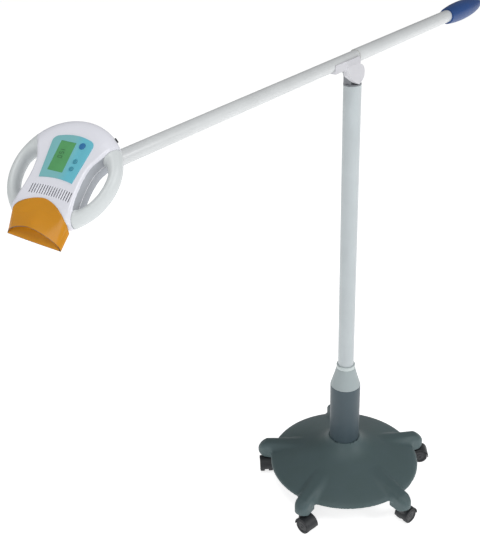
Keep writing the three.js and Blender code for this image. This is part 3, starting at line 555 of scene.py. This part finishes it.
def tilt_joint():
    def swivel(x, y, z):
        collar = rod(x, y, z, POLE_R, SWIVEL_Z0, SWIVEL_Z1, 1)
        side = np.hypot(x, np.maximum(z - HINGE_Z, 0)) - NECK_EYE_R
        neck = cut_round(cut_round(np.hypot(x, y) - POLE_R, side, 1), slab(y, NECK_Y0, NECK_Y1), 1)
        neck = np.maximum(neck, SWIVEL_Z0 + 1 - z)
        solid = join_round(collar, neck, 1.5)
        solid = np.minimum(solid, rod(x, y, z, SPIGOT_R, SPIGOT_Z, SWIVEL_Z0 + 1))
        return np.maximum(solid, PIN_R + 0.1 - np.hypot(x, z - HINGE_Z))

    obj = field_mesh("swivel_skin", swivel, (-28, -28, SPIGOT_Z - 3), (28, 28, HINGE_Z + NECK_EYE_R + 3), 1.2)
    # the swivel takes the darker grey of painted shade
    finish_piece(obj, "swivel", NECK_PAINTED_SHADE, ["swivel_head"])

    table_low = (WEB_X - 10, HINGE_Z - CHEEK_R - 8)
    side = polygon_table(cheek_outline(), table_low, (CHEEK_R + 8, SADDLE_Z1 + 8), 0.6)

    def bracket(x, y, z):
        near = np.interp(z, (BEVEL_Z, SADDLE_Z1), (CHEEK_Y0, -SADDLE_HALF_W)) + CREASE_DEPTH * (x > CREASE_X)
        cheek = cut_round(side(x, z), slab(y, near, CHEEK_Y1), 1.2)
        box = (SADDLE_X0, SADDLE_X1, -SADDLE_HALF_W, SADDLE_HALF_W, SADDLE_Z0, SADDLE_Z1)
        solid = join_round(cheek, brick(x, y, z, box, 1.6), WEB_FILLET)
        solid = np.maximum(solid, np.maximum(slab(y, CHEEK_Y0, SADDLE_HALF_W), z - SADDLE_Z1))
        solid = cut_round(solid, FRONT_R + 0.05 - np.hypot(y, z - ARM_Z), 0.2)
        pin_hole = np.maximum(np.hypot(x, z - HINGE_Z) - PIN_R - 0.05, PIN_Y0 - 0.05 - y)
        return np.maximum(solid, -pin_hole)

    low = (SADDLE_X0 - 3, CHEEK_Y0 - 3, HINGE_Z - CHEEK_R - 3)
    obj = field_mesh("bracket_skin", bracket, low, (CHEEK_R + 3, SADDLE_HALF_W + 3, SADDLE_Z1 + 3), 1.0)
    finish_piece(obj, "arm", JOINT, ["saddle_bracket"])

    end = NUT_Y0 + NUT_T + 2
    pin = eased([(0, PIN_Y0), (PIN_R, PIN_Y0), (PIN_R, end), (0, end)], [0, 0.5, 1, 0])
    across = moved(z=HINGE_Z) @ ALONG_Y
    finish_piece(turned("hinge_pin_skin", pin, across, 48), "arm", STEEL, ["hinge_pin"])

    def nut(x, y, z):
        flats = [np.abs(x * math.cos(a) + y * math.sin(a)) for a in np.radians((30, 90, 150))]
        sides = np.maximum.reduce(flats) - NUT_R * math.cos(math.pi / 6)
        solid = cut_round(sides, slab(z, NUT_Y0, NUT_Y0 + NUT_T), 0.8)
        return np.maximum(solid, PIN_R + 0.03 - np.hypot(x, y))

    obj = field_mesh("hinge_nut_skin", nut, (-12, -12, NUT_Y0 - 2), (12, 12, NUT_Y0 + NUT_T + 2), 0.6, across)
    finish_piece(obj, "arm", STEEL, ["hinge_nut"])


# ---------------------------------------------------------------- arm
def boom_arm():
    along = ARM_FRAME @ ALONG_X
    tubes = {
        "front": tube_outline(FRONT_R, FRONT_WALL, FRONT_X0, FRONT_X1, 0.9),
        "rear": tube_outline(REAR_R, REAR_WALL, REAR_X0, REAR_X1, 0.9),
    }
    for end, outline in tubes.items():
        piece = turned(f"{end}_tube_skin", outline, along, 80)
        finish_piece(piece, "arm", ARM_PAINT, [f"arm_{end}_tube"])
    tail = 0.62
    steps = 28
    outline = []
    for i in range(steps + 1):
        a = -tail + (math.pi / 2 + tail) * i / steps
        share = (1 - math.sin(a)) / (1 + math.sin(tail))
        outline.append((CAP_R * math.cos(a), CAP_X1 - share * (CAP_X1 - CAP_X0)))
    outline[-1] = (0, CAP_X1)
    cap = [(REAR_R + 0.02, CAP_X0), *outline, (0, REAR_X1 + 0.3), (REAR_R + 0.02, REAR_X1 + 0.3)]
    finish_piece(turned("cap_skin", cap, along, 96), "arm", CAP_BLUE, ["arm_end_cap"])


# ---------------------------------------------------------------- head joints
def head_joints():
    plug_r = (FRONT_R - FRONT_WALL) * math.cos(math.pi / 20) - 0.05

    def socket(x, y, z):
        plug = rod(y, z, x, plug_r, FRONT_X0 - 1, FRONT_X0 + 45, 1)
        collar = rod(y, z, x, EYE_COLLAR_R, FRONT_X0 - 12, FRONT_X0 - 0.3, 2)
        eye = rod(x - EYE_X, y, z, EYE_R, -EYE_HALF_T, EYE_HALF_T, 1)
        neck = brick(x, y, z, (EYE_X, FRONT_X0 - 10, -11, 11, -EYE_HALF_T, EYE_HALF_T), 1)
        solid = np.minimum.reduce(np.broadcast_arrays(join_round(collar, neck, 2), eye, plug))
        return np.maximum(solid, EYE_PIN_R + 0.05 - np.hypot(x - EYE_X, y))

    obj = field_mesh("socket_skin", socket, (EYE_X - 18, -21, -21), (FRONT_X0 + 48, 21, 21), 0.9, ROLLED)
    finish_piece(obj, "socket", JOINT, ["head_socket"])

    z0 = EYE_HALF_T + EAR_GAP
    z1 = z0 + EAR_T

    def knuckle(x, y, z):
        far = np.abs(z)
        ear = rod(x, y, far, EYE_R, z0, z1, 1)
        strap = brick(x, y, far, (-REACH + 4, 0, -9.5, 9.5, z0, z1), 1)
        neck = brick(x, y, z, (-REACH + 2, -EYE_R - 0.6, -9.5, 9.5, -z1, z1), 1)
        barrel = rod(x + REACH, z, y, BARREL_R, -BARREL_HALF, BARREL_HALF, 0.8)
        solid = np.minimum.reduce(np.broadcast_arrays(ear, strap, neck, barrel))
        solid = np.maximum(solid, TILT_PIN_R + 0.1 - np.hypot(x + REACH, z))
        return np.maximum(solid, EYE_PIN_R + 0.05 - np.hypot(x, y))

    obj = field_mesh("knuckle_skin", knuckle, (-REACH - 14, -18, -17), (18, 18, 17), 0.8, YAWED)
    finish_piece(obj, "knuckle", JOINT, ["head_knuckle"])
    pin = eased([(0, -z1), (EYE_PIN_R, -z1), (EYE_PIN_R, z1), (0, z1)], 0.9)
    finish_piece(turned("turn_pin_skin", pin, YAWED, 40), "knuckle", STEEL, ["turn_pin"])
    half = BARREL_HALF + EAR_GAP + 6
    pin = eased([(0, -half), (TILT_PIN_R, -half), (TILT_PIN_R, half), (0, half)], 0.8)
    place = HEAD_FRAME @ moved(HEAD_SIDE, HEAD_UP, -HEAD_BACK) @ ALONG_X
    finish_piece(turned("tilt_pin_skin", pin, place, 40), "head", STEEL, ["tilt_pin"])


# ---------------------------------------------------------------- head
SIDE_CURVE = np.array(catmull(BODY_SIDE, 12))[::-1]
SIDE_X, SIDE_Y = SIDE_CURVE[:, 0], SIDE_CURVE[:, 1]
SIDE_COS = 1 / np.hypot(1, np.gradient(SIDE_X, SIDE_Y))


def body_side(x, y):
    return (np.abs(x) - np.interp(y, SIDE_Y, SIDE_X)) * np.interp(y, SIDE_Y, SIDE_COS)


def rim_disc(r, z):
    q = (np.maximum(r - HEAD_FLAT_R, 0) / (HEAD_R - HEAD_FLAT_R)) ** 2.3 + (np.abs(z) / HEAD_HALF_T) ** 2.3
    return (q ** (1 / 2.3) - 1) * HEAD_HALF_T


def grip_ring(x, y, r, z):
    """The ring that both grips are cut from: it widens and thickens towards the body."""
    turn = np.clip(np.degrees(np.arctan2(y, np.abs(x))), GRIP_FROM, GRIP_TO)
    low = np.maximum(0, (turn - GRIP_LOW["deg"]) / (GRIP_FROM - GRIP_LOW["deg"])) ** GRIP_LOW["bend"]
    high = np.maximum(0, (turn - GRIP_HIGH["deg"]) / (GRIP_TO - GRIP_HIGH["deg"])) ** GRIP_HIGH["bend"]
    half_w = GRIP_HALF_W + GRIP_LOW["grow"] * low + GRIP_HIGH["grow"] * high
    half_t = GRIP_HALF_T + GRIP_LOW["thicken"] * low + GRIP_HIGH["thicken"] * high
    return (np.hypot((r - HEAD_R + half_w) / half_w, z / half_t) - 1) * half_w


def head_solid(x, y, z):
    r = np.hypot(x, y)
    body = cut_round(rim_disc(r, z), body_side(x, y), 7)
    fillet = np.clip(4 + body_side(x, y), 0.8, 8)
    return join_round(body, grip_ring(x, y, r, z), fillet)


def hollow_of(x, y, z):
    return np.maximum(rim_disc(np.hypot(x, y), z) + HEAD_WALL, body_side(x, y) + HEAD_WALL)


def inlet_distance(x, y, z):
    a = math.radians(INLET_DEG)
    return np.hypot(y * math.cos(a) - x * math.sin(a), z), x * math.cos(a) + y * math.sin(a)


def shell_common(x, y, z, front):
    """One half of the case: the outer form less its hollow, the light outlet and the hole of the inlet."""
    solid = cut_round(head_solid(x, y, z), body_side(x, y), 0.7)
    solid = cut_round(solid, 0.1 - z if front else 0.1 + z, 0.6)
    solid = np.maximum(solid, -hollow_of(x, y, z))
    mouth = np.maximum(slab(z, OUTLET_Z0, OUTLET_Z1), y - OUTLET_Y)
    mouth = np.maximum(slab(x, -OUTLET_HALF_W, OUTLET_HALF_W), mouth)
    solid = cut_round(solid, -mouth, 0.8)
    across, along = inlet_distance(x, y, z)
    return np.maximum(solid, -np.maximum(across - INLET_R - 0.1, 100 - along))


def paint_waist_shade(obj):
    """Puts the darker second material on the flat walls of the waist: painted shade for the shade that falls
    beside the grips.
    """
    to_head = HEAD_FRAME.inverted()
    for f in obj.data.polygons:
        c = to_head @ f.center / MM
        normal = to_head.to_3x3() @ f.normal
        f.material_index = int(body_side(c.x, c.y) > -0.8 and abs(normal.z) < 0.3)


def front_case():
    def field(x, y, z):
        solid = shell_common(x, y, z, True)
        holes = np.maximum(slab(x, LCD_X0 + 2, LCD_X1 - 2), slab(y, LCD_Y0 + 2, LCD_Y1 - 2))
        for kx, ky, kr in KEYS.values():
            holes = np.minimum(holes, np.hypot(x - kx, y - ky) - kr - 0.3)
        for i in range(SLITS):
            sx = SLIT_X + (i - (SLITS - 1) / 2) * SLIT_PITCH
            sy = SLIT_Y - SLIT_BOW * sx * sx
            along = np.maximum(np.abs(y - sy) - SLIT_L / 2 + SLIT_W / 2, 0)
            holes = np.minimum(holes, np.hypot(x - sx, along) - SLIT_W / 2)
        return cut_round(solid, -np.maximum(holes, HOLE_FLOOR_Z - z), 0.5)

    obj = field_mesh("front_case", field, (-106, -119, -2), (106, 119, 28), 0.9, HEAD_FRAME)
    paint_waist_shade(finish_piece(obj, "head", [SHELL, WAIST_PAINTED_SHADE], ["front_shell"]))


def rear_case():
    inner = BARREL_HALF + EAR_GAP
    outer = inner + 6

    def field(x, y, z):
        solid = shell_common(x, y, z, False)
        from_middle = np.abs(x - HEAD_SIDE)
        cheek = slab(from_middle, inner, outer)
        eye = cut_round(np.hypot(y - HEAD_UP, z + HEAD_BACK) - BARREL_R, cheek, 0.9)
        section = slab(z, -HEAD_BACK, -HEAD_HALF_T + 1)
        section = np.maximum(slab(y, HEAD_UP - STEM_BELOW, HEAD_UP + BARREL_R), section)
        stem = cut_round(section, cheek, 0.9)
        solid = join_round(solid, np.minimum(eye, stem), 2.5)
        solid = np.maximum(solid, TILT_PIN_R + 0.05 - np.hypot(y - HEAD_UP, z + HEAD_BACK))
        fan = np.maximum(np.hypot(x - FAN_X, y - FAN_Y) - FAN_R + 2, z + 15)
        return cut_round(solid, -fan, 0.8)

    obj = field_mesh("rear_case", field, (-106, -119, -69), (106, 119, 2), 1.1, HEAD_FRAME)
    paint_waist_shade(finish_piece(obj, "head", [SHELL, WAIST_PAINTED_SHADE], ["rear_shell"]))


def grips():
    for name, node, sign in (("right_grip", "right_handle", 1), ("left_grip", "left_handle", -1)):
        def field(x, y, z, sign=sign):
            solid = cut_round(head_solid(x, y, z), 0.25 - body_side(x, y), 0.7)
            return np.maximum(solid, 5 - sign * x)

        low, high = sorted((sign * 40, sign * 119))
        obj = field_mesh(name, field, (low, -112, -28), (high, 106, 28), 1.1, HEAD_FRAME)
        finish_piece(obj, "head", GRIP, [node])


def panel_curve(steps=10):
    """The panel's outline: straight flanks, a domed top and a lower edge that bows upwards."""
    def bow(a, b, c):
        a, b, c = (np.array(p, float) for p in (a, b, c))
        share = np.linspace(0, 1, steps, endpoint=False)
        return [(1 - t) ** 2 * a + 2 * t * (1 - t) * b + t * t * c for t in share]

    return [
        *bow((-33, -22.5), (4, -14), (41, -22)), (41, -22), *bow((48.5, 53), (50, 65), (39, 69)),
        *bow((39, 69), (2, 80), (-34, 67)), *bow((-34, 67), (-42, 63), (-42, 54)), (-42, 54),
    ]


def panel_material():
    """Teal film that turns bluer towards its right edge."""
    m = finish_of("panel_teal", PANEL_RGB, 0.3, tint=0.02, coat=0.2)
    nodes, links = m.node_tree.nodes, m.node_tree.links
    shader = nodes["Principled BSDF"]
    right = HEAD_FRAME.to_3x3() @ Vector((1, 0, 0))
    across = nodes.new("ShaderNodeVectorMath")
    across.operation = "DOT_PRODUCT"
    across.inputs[1].default_value = right
    links.new(nodes.new("ShaderNodeTexCoord").outputs["Object"], across.inputs[0])
    middle = HEAD_FRAME.translation.dot(right)
    share = nodes.new("ShaderNodeMapRange")
    share.inputs["From Min"].default_value = middle + 4 * MM
    share.inputs["From Max"].default_value = middle + 24 * MM
    links.new(across.outputs["Value"], share.inputs["Value"])
    ramp = nodes.new("ShaderNodeValToRGB")
    ramp.color_ramp.elements[0].color = (*linear(PANEL_RGB), 1)
    ramp.color_ramp.elements[1].color = (*linear(PANEL_RIGHT_RGB), 1)
    links.new(share.outputs["Result"], ramp.inputs["Fac"])
    links.new(ramp.outputs["Color"], shader.inputs["Base Color"])
    return m


def round_line(cx, cy, r, n=32):
    turns = [2 * math.pi * i / n for i in range(n)]
    return [(cx + r * math.cos(a), cy + r * math.sin(a)) for a in turns]


def control_panel():
    z0 = HEAD_HALF_T + 0.1
    holes = [[(LCD_X0, LCD_Y0), (LCD_X1, LCD_Y0), (LCD_X1, LCD_Y1), (LCD_X0, LCD_Y1)]]
    holes += [round_line(x, y, r + 0.3) for x, y, r in KEYS.values()]
    obj = plate("panel_sheet", panel_curve(), z0, z0 + 1.2, 0.3, HEAD_FRAME, holes)
    finish_piece(obj, "head", panel_material(), ["control_panel"])

    x0, x1, y0, y1 = LCD_X0 + 0.1, LCD_X1 - 0.1, LCD_Y0 + 0.1, LCD_Y1 - 0.1
    glass = [(x0, y0), (x1, y0), (x1, y1), (x0, y1)]
    lcd = finish_of("lcd_green", (88, 158, 100), 0.18, tint=0.05, tint_scale=60)
    obj = plate("lcd_glass", glass, z0, z0 + 0.9, 0.25, HEAD_FRAME)
    finish_piece(obj, "head", lcd, ["lcd_window"])
    lcd_digits(z0 + 0.9)

    for key, (x, y, r) in KEYS.items():
        low, top = 17.6, HEAD_HALF_T + 2.2
        outline = eased([(0, low), (r, low), (r, top), (0, top)], [0, 0.4, 1.1, 0])
        rgb, slot = ((44, 112, 166), "key_dark") if key == "power" else ((66, 146, 166), "key_teal")
        mat = finish_of(f"key_{key}", rgb, 0.35, tint=0.03)
        piece = turned(f"{key}_cap", outline, HEAD_FRAME @ moved(x, y), 48)
        finish_piece(piece, f"{key}_key", mat, [f"{key}_button"])


def lcd_digits(z):
    """Seven-segment figures on the display, read with the panel's right edge up."""
    on = {"1": "bc", "5": "acdfg", "0": "abcdef"}
    w, h, t = 5.0, 10.0, 1.1
    bars = {
        "a": (0, h - t, w, h), "g": (0, (h - t) / 2, w, (h + t) / 2), "d": (0, 0, w, t),
        "f": (0, h / 2, t, h), "e": (0, 0, t, h / 2), "b": (w - t, h / 2, w, h), "c": (w - t, 0, w, h / 2),
    }
    verts, faces = [], []
    for i, digit in enumerate("150"):
        for bar in on[digit]:
            x0, y0, x1, y1 = bars[bar]
            n = len(verts)
            for zz in (z - 0.05, z + 0.08):
                for u, v in ((x0, y0), (x1, y0), (x1, y1), (x0, y1)):
                    verts.append((LCD_X0 + 8 + v, LCD_Y1 - 14 - i * 8.5 - u, zz))
            faces += [(n + 3, n + 2, n + 1, n), (n + 4, n + 5, n + 6, n + 7)]
            faces += [(n + k, n + (k + 1) % 4, n + 4 + (k + 1) % 4, n + 4 + k) for k in range(4)]
    obj = make("lcd_digits", verts, faces, HEAD_FRAME, 20)
    outwards(obj.data)
    finish_piece(obj, "head", finish_of("lcd_ink", (44, 96, 56), 0.5))


def face_height(r):
    """Height of the face above the head's middle plane."""
    t = np.clip((r - HEAD_FLAT_R) / (HEAD_R - HEAD_FLAT_R), 0, 1)
    return HEAD_HALF_T * (1 - t ** 2.3) ** (1 / 2.3)


def shield_arch(t, k, across):
    """Points of the outer face of the shield's front: t runs from the face to the mouth, k round the arch."""
    c, s = np.cos(np.pi * k / across), np.abs(np.sin(np.pi * k / across))

    def end(shape):
        x = shape["half_w"] * np.sign(c) * np.abs(c) ** shape["power"]
        y = shape["y"] + shape["rise"] * s ** shape["bend"] - SHIELD_PIVOT_Y
        z = shape["z"] + (shape["top"] - shape["z"]) * s ** shape["arch"]
        turn = math.radians(SHIELD_TURN_DEG)
        turned_x = x * math.cos(turn) - y * math.sin(turn)
        turned_y = x * math.sin(turn) + y * math.cos(turn) + SHIELD_PIVOT_Y
        return np.stack([turned_x, turned_y, z], -1)

    def lift(p, within):
        r = np.hypot(p[..., 0], p[..., 1])
        over = np.where(r < within, face_height(r) + SHIELD_CLEAR, p[..., 2])
        p[..., 2] = np.maximum(p[..., 2], over)
        return p

    face = lift(end(SHIELD_FACE), HEAD_R)
    outer = lift(face * (1 - t) + end(SHIELD_MOUTH) * t, HEAD_R - 8)
    inner = outer + SHIELD_WALL * np.stack([-np.sign(c) * np.abs(c) ** 0.5, 0 * c, 1 - 2 * s], -1)
    r = np.hypot(inner[..., 0], inner[..., 1])
    on_face = np.where(r < HEAD_R, face_height(r) + 0.3, inner[..., 2])
    under = np.maximum(outer[..., 2] - 0.5, inner[..., 2])
    inner[..., 2] = np.minimum(np.maximum(inner[..., 2], on_face), under)
    return outer, inner


def shield():
    """Tube round the outlet, arched in front and flat behind, that leads out past the rim."""
    across, behind, rows = 72, 24, 20
    t = np.linspace(0, 1, rows + 1)[:, None, None]
    k = np.arange(across + 1)[None, :]
    loops = []
    for arch in shield_arch(t, np.broadcast_to(k, (rows + 1, across + 1)), across):
        m = np.linspace(0, 1, behind + 1)[1:-1][None, :, None]
        back = arch[:, -1:, :] * (1 - m) + arch[:, :1, :] * m
        back[..., 2] -= SHIELD_BOW * np.sin(np.pi * m[..., 0])
        rim = -np.sqrt((HEAD_R + 0.5) ** 2 - np.minimum(np.abs(back[..., 0]), 80) ** 2)
        back[..., 1] = np.minimum(back[..., 1], rim)
        loops.append(np.concatenate([arch, back], 1))
    n = loops[0].shape[1]
    verts = np.concatenate([q.reshape(-1, 3) for q in loops])
    inside = n * (rows + 1)
    faces, on_rim = [], []
    for i in range(n):
        j = (i + 1) % n
        for row in range(rows):
            a, b = row * n + i, row * n + j
            faces += [(a, b, b + n, a + n), (a + inside, a + n + inside, b + n + inside, b + inside)]
            on_rim += [False, False]
        for row in (0, rows):
            a, b = row * n + i, row * n + j
            faces.append((a, b, b + inside, a + inside))
            on_rim.append(True)
    obj = make("shield_skin", verts, faces, HEAD_FRAME, 50)
    for f, rim in zip(obj.data.polygons, on_rim):
        f.material_index = 1 if rim else 0
    outwards(obj.data)
    orange = finish_of("shield_orange", SHIELD_RGB, 0.22, tint=0.03, rough_var=0.03)
    shader = orange.node_tree.nodes["Principled BSDF"]
    shader.inputs["Transmission Weight"].default_value = 0.25
    shader.inputs["IOR"].default_value = 1.45
    edge = finish_of("shield_edge", (70, 46, 24), 0.35, tint=0.06)
    finish_piece(obj, "shield", [orange, edge], ["light_shield"])


def parting_line():
    """A fine bead where the two halves of the case meet, along the waist on both sides."""
    low, high, half_t = -62, 37, 0.8
    verts, faces = [], []
    y = np.linspace(low, high, 60)
    x = np.interp(y, SIDE_Y, SIDE_X)
    cos = np.interp(y, SIDE_Y, SIDE_COS)
    sin = -np.gradient(x, y) * cos
    for side in (1, -1):
        first = len(verts)
        for px, py, nx, ny in zip(x, y, cos, sin):
            for depth, z in ((-0.6, -half_t), (0.35, -half_t * 0.6), (0.35, half_t * 0.6), (-0.6, half_t)):
                verts.append((side * (px + nx * depth), py + ny * depth, z))
        for i in range(len(y) - 1):
            a = first + 4 * i
            faces += [(a + j, a + (j + 1) % 4, a + 4 + (j + 1) % 4, a + 4 + j) for j in range(4)]
        end = first + 4 * (len(y) - 1)
        faces += [tuple(range(first, first + 4)), tuple(range(end + 3, end - 1, -1))]
    obj = make("parting_line", verts, faces, HEAD_FRAME, 60)
    outwards(obj.data)
    finish_piece(obj, "head", SEAM)


def head_details():
    a = math.radians(INLET_DEG)
    bore, floor = 2, INLET_D0 + 3
    outline = eased([
        (0, INLET_D0), (INLET_R, INLET_D0), (INLET_R, INLET_D1), (bore, INLET_D1), (bore, floor), (0, floor),
    ], [0, 0.3, 1, 0.3, 0, 0])
    place = HEAD_FRAME @ Matrix.Rotation(a, 4, "Z") @ ALONG_X
    finish_piece(turned("inlet_skin", outline, place, 40), "head", CASTOR, ["power_inlet"])


# ---------------------------------------------------------------- CAD nodes that stay in view
def dress_nodes():
    window = finish_of("outlet_glass", (170, 190, 240), 0.15)
    window.node_tree.nodes["Principled BSDF"].inputs["Transmission Weight"].default_value = 0.6
    looks = {
        "ballast_plate": IRON, "pole_socket": IRON, "counterweight": IRON, "pole_bush": NYLON,
        "arm_bush": NYLON, "control_board": BOARD, "led_board": BOARD, "heat_sink": HEAT_SINK,
        "outlet_window": window, "fan_frame": CASTOR, "fan_rotor": CASTOR,
    }
    looks.update({f"castor_{k + 1}_axle": IRON for k in range(LEG_COUNT)})
    for name, material in looks.items():
        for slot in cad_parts[name].material_slots:
            slot.material = material


# ---------------------------------------------------------------- stage
FLOOR_DROP = -0.0005


def stage():
    size = 30
    corners = np.array([(-size, -size, 0), (size, -size, 0), (size, size, 0), (-size, size, 0)])
    floor = make("floor", corners / MM, [(0, 1, 2, 3)])
    floor.location.z = FLOOR_DROP
    m = finish_of("floor_white", (250, 250, 250), 0.9, tint=0.0)
    shader = m.node_tree.nodes["Principled BSDF"]
    shader.inputs["Specular IOR Level"].default_value = 0.0
    shader.inputs["Emission Color"].default_value = (1, 1, 1, 1)
    shader.inputs["Emission Strength"].default_value = 0.74
    floor.data.materials.append(m)


def light(name, spot, aim, size, power, colour=(1, 1, 1)):
    lamp = bpy.data.lights.new(name, "AREA")
    lamp.shape = "DISK"
    lamp.size = size
    lamp.energy = power
    lamp.color = colour
    obj = bpy.data.objects.new(name, lamp)
    obj.location = spot
    obj.rotation_euler = (Vector(aim) - Vector(spot)).to_track_quat("-Z", "Y").to_euler()
    bpy.context.scene.collection.objects.link(obj)


def lights_and_camera():
    scene = bpy.context.scene
    scene.view_settings.view_transform = "Standard"
    world = bpy.data.worlds.new("studio")
    scene.world = world
    world.use_nodes = True
    back = world.node_tree.nodes["Background"]
    back.inputs["Color"].default_value = (1, 1, 1, 1)
    back.inputs["Strength"].default_value = 0.27
    light("key", (1.2, -4.2, 3.6), (-0.2, 0, 0.9), 2.2, 88)
    light("fill", (-4.5, -1.5, 3.0), (0, 0, 1.0), 3.0, 30)
    light("top", (-1.9, -0.5, 4.2), (-1.05, -0.03, 1.45), 1.6, 34)

    camera = bpy.data.cameras.new("camera")
    camera.sensor_width = 36
    camera.lens = 59.46
    camera.clip_end = 100
    obj = bpy.data.objects.new("camera", camera)
    right = Vector((0.60746, -0.79354, -0.03574)).normalized()
    ahead = Vector((0.69100, 0.55009, -0.46895)).normalized()
    up = right.cross(ahead).normalized()
    turn = Matrix((right, up, -ahead)).transposed().to_4x4()
    obj.matrix_world = Matrix.Translation((-2.0557, -1.2229, 2.0730)) @ turn
    scene.collection.objects.link(obj)
    scene.camera = obj


lights_and_camera()
base_cover()
column_and_pole()
castors()
tilt_joint()
boom_arm()
head_joints()
front_case()
rear_case()
grips()
control_panel()
shield()
parting_line()
head_details()
dress_nodes()
stage()
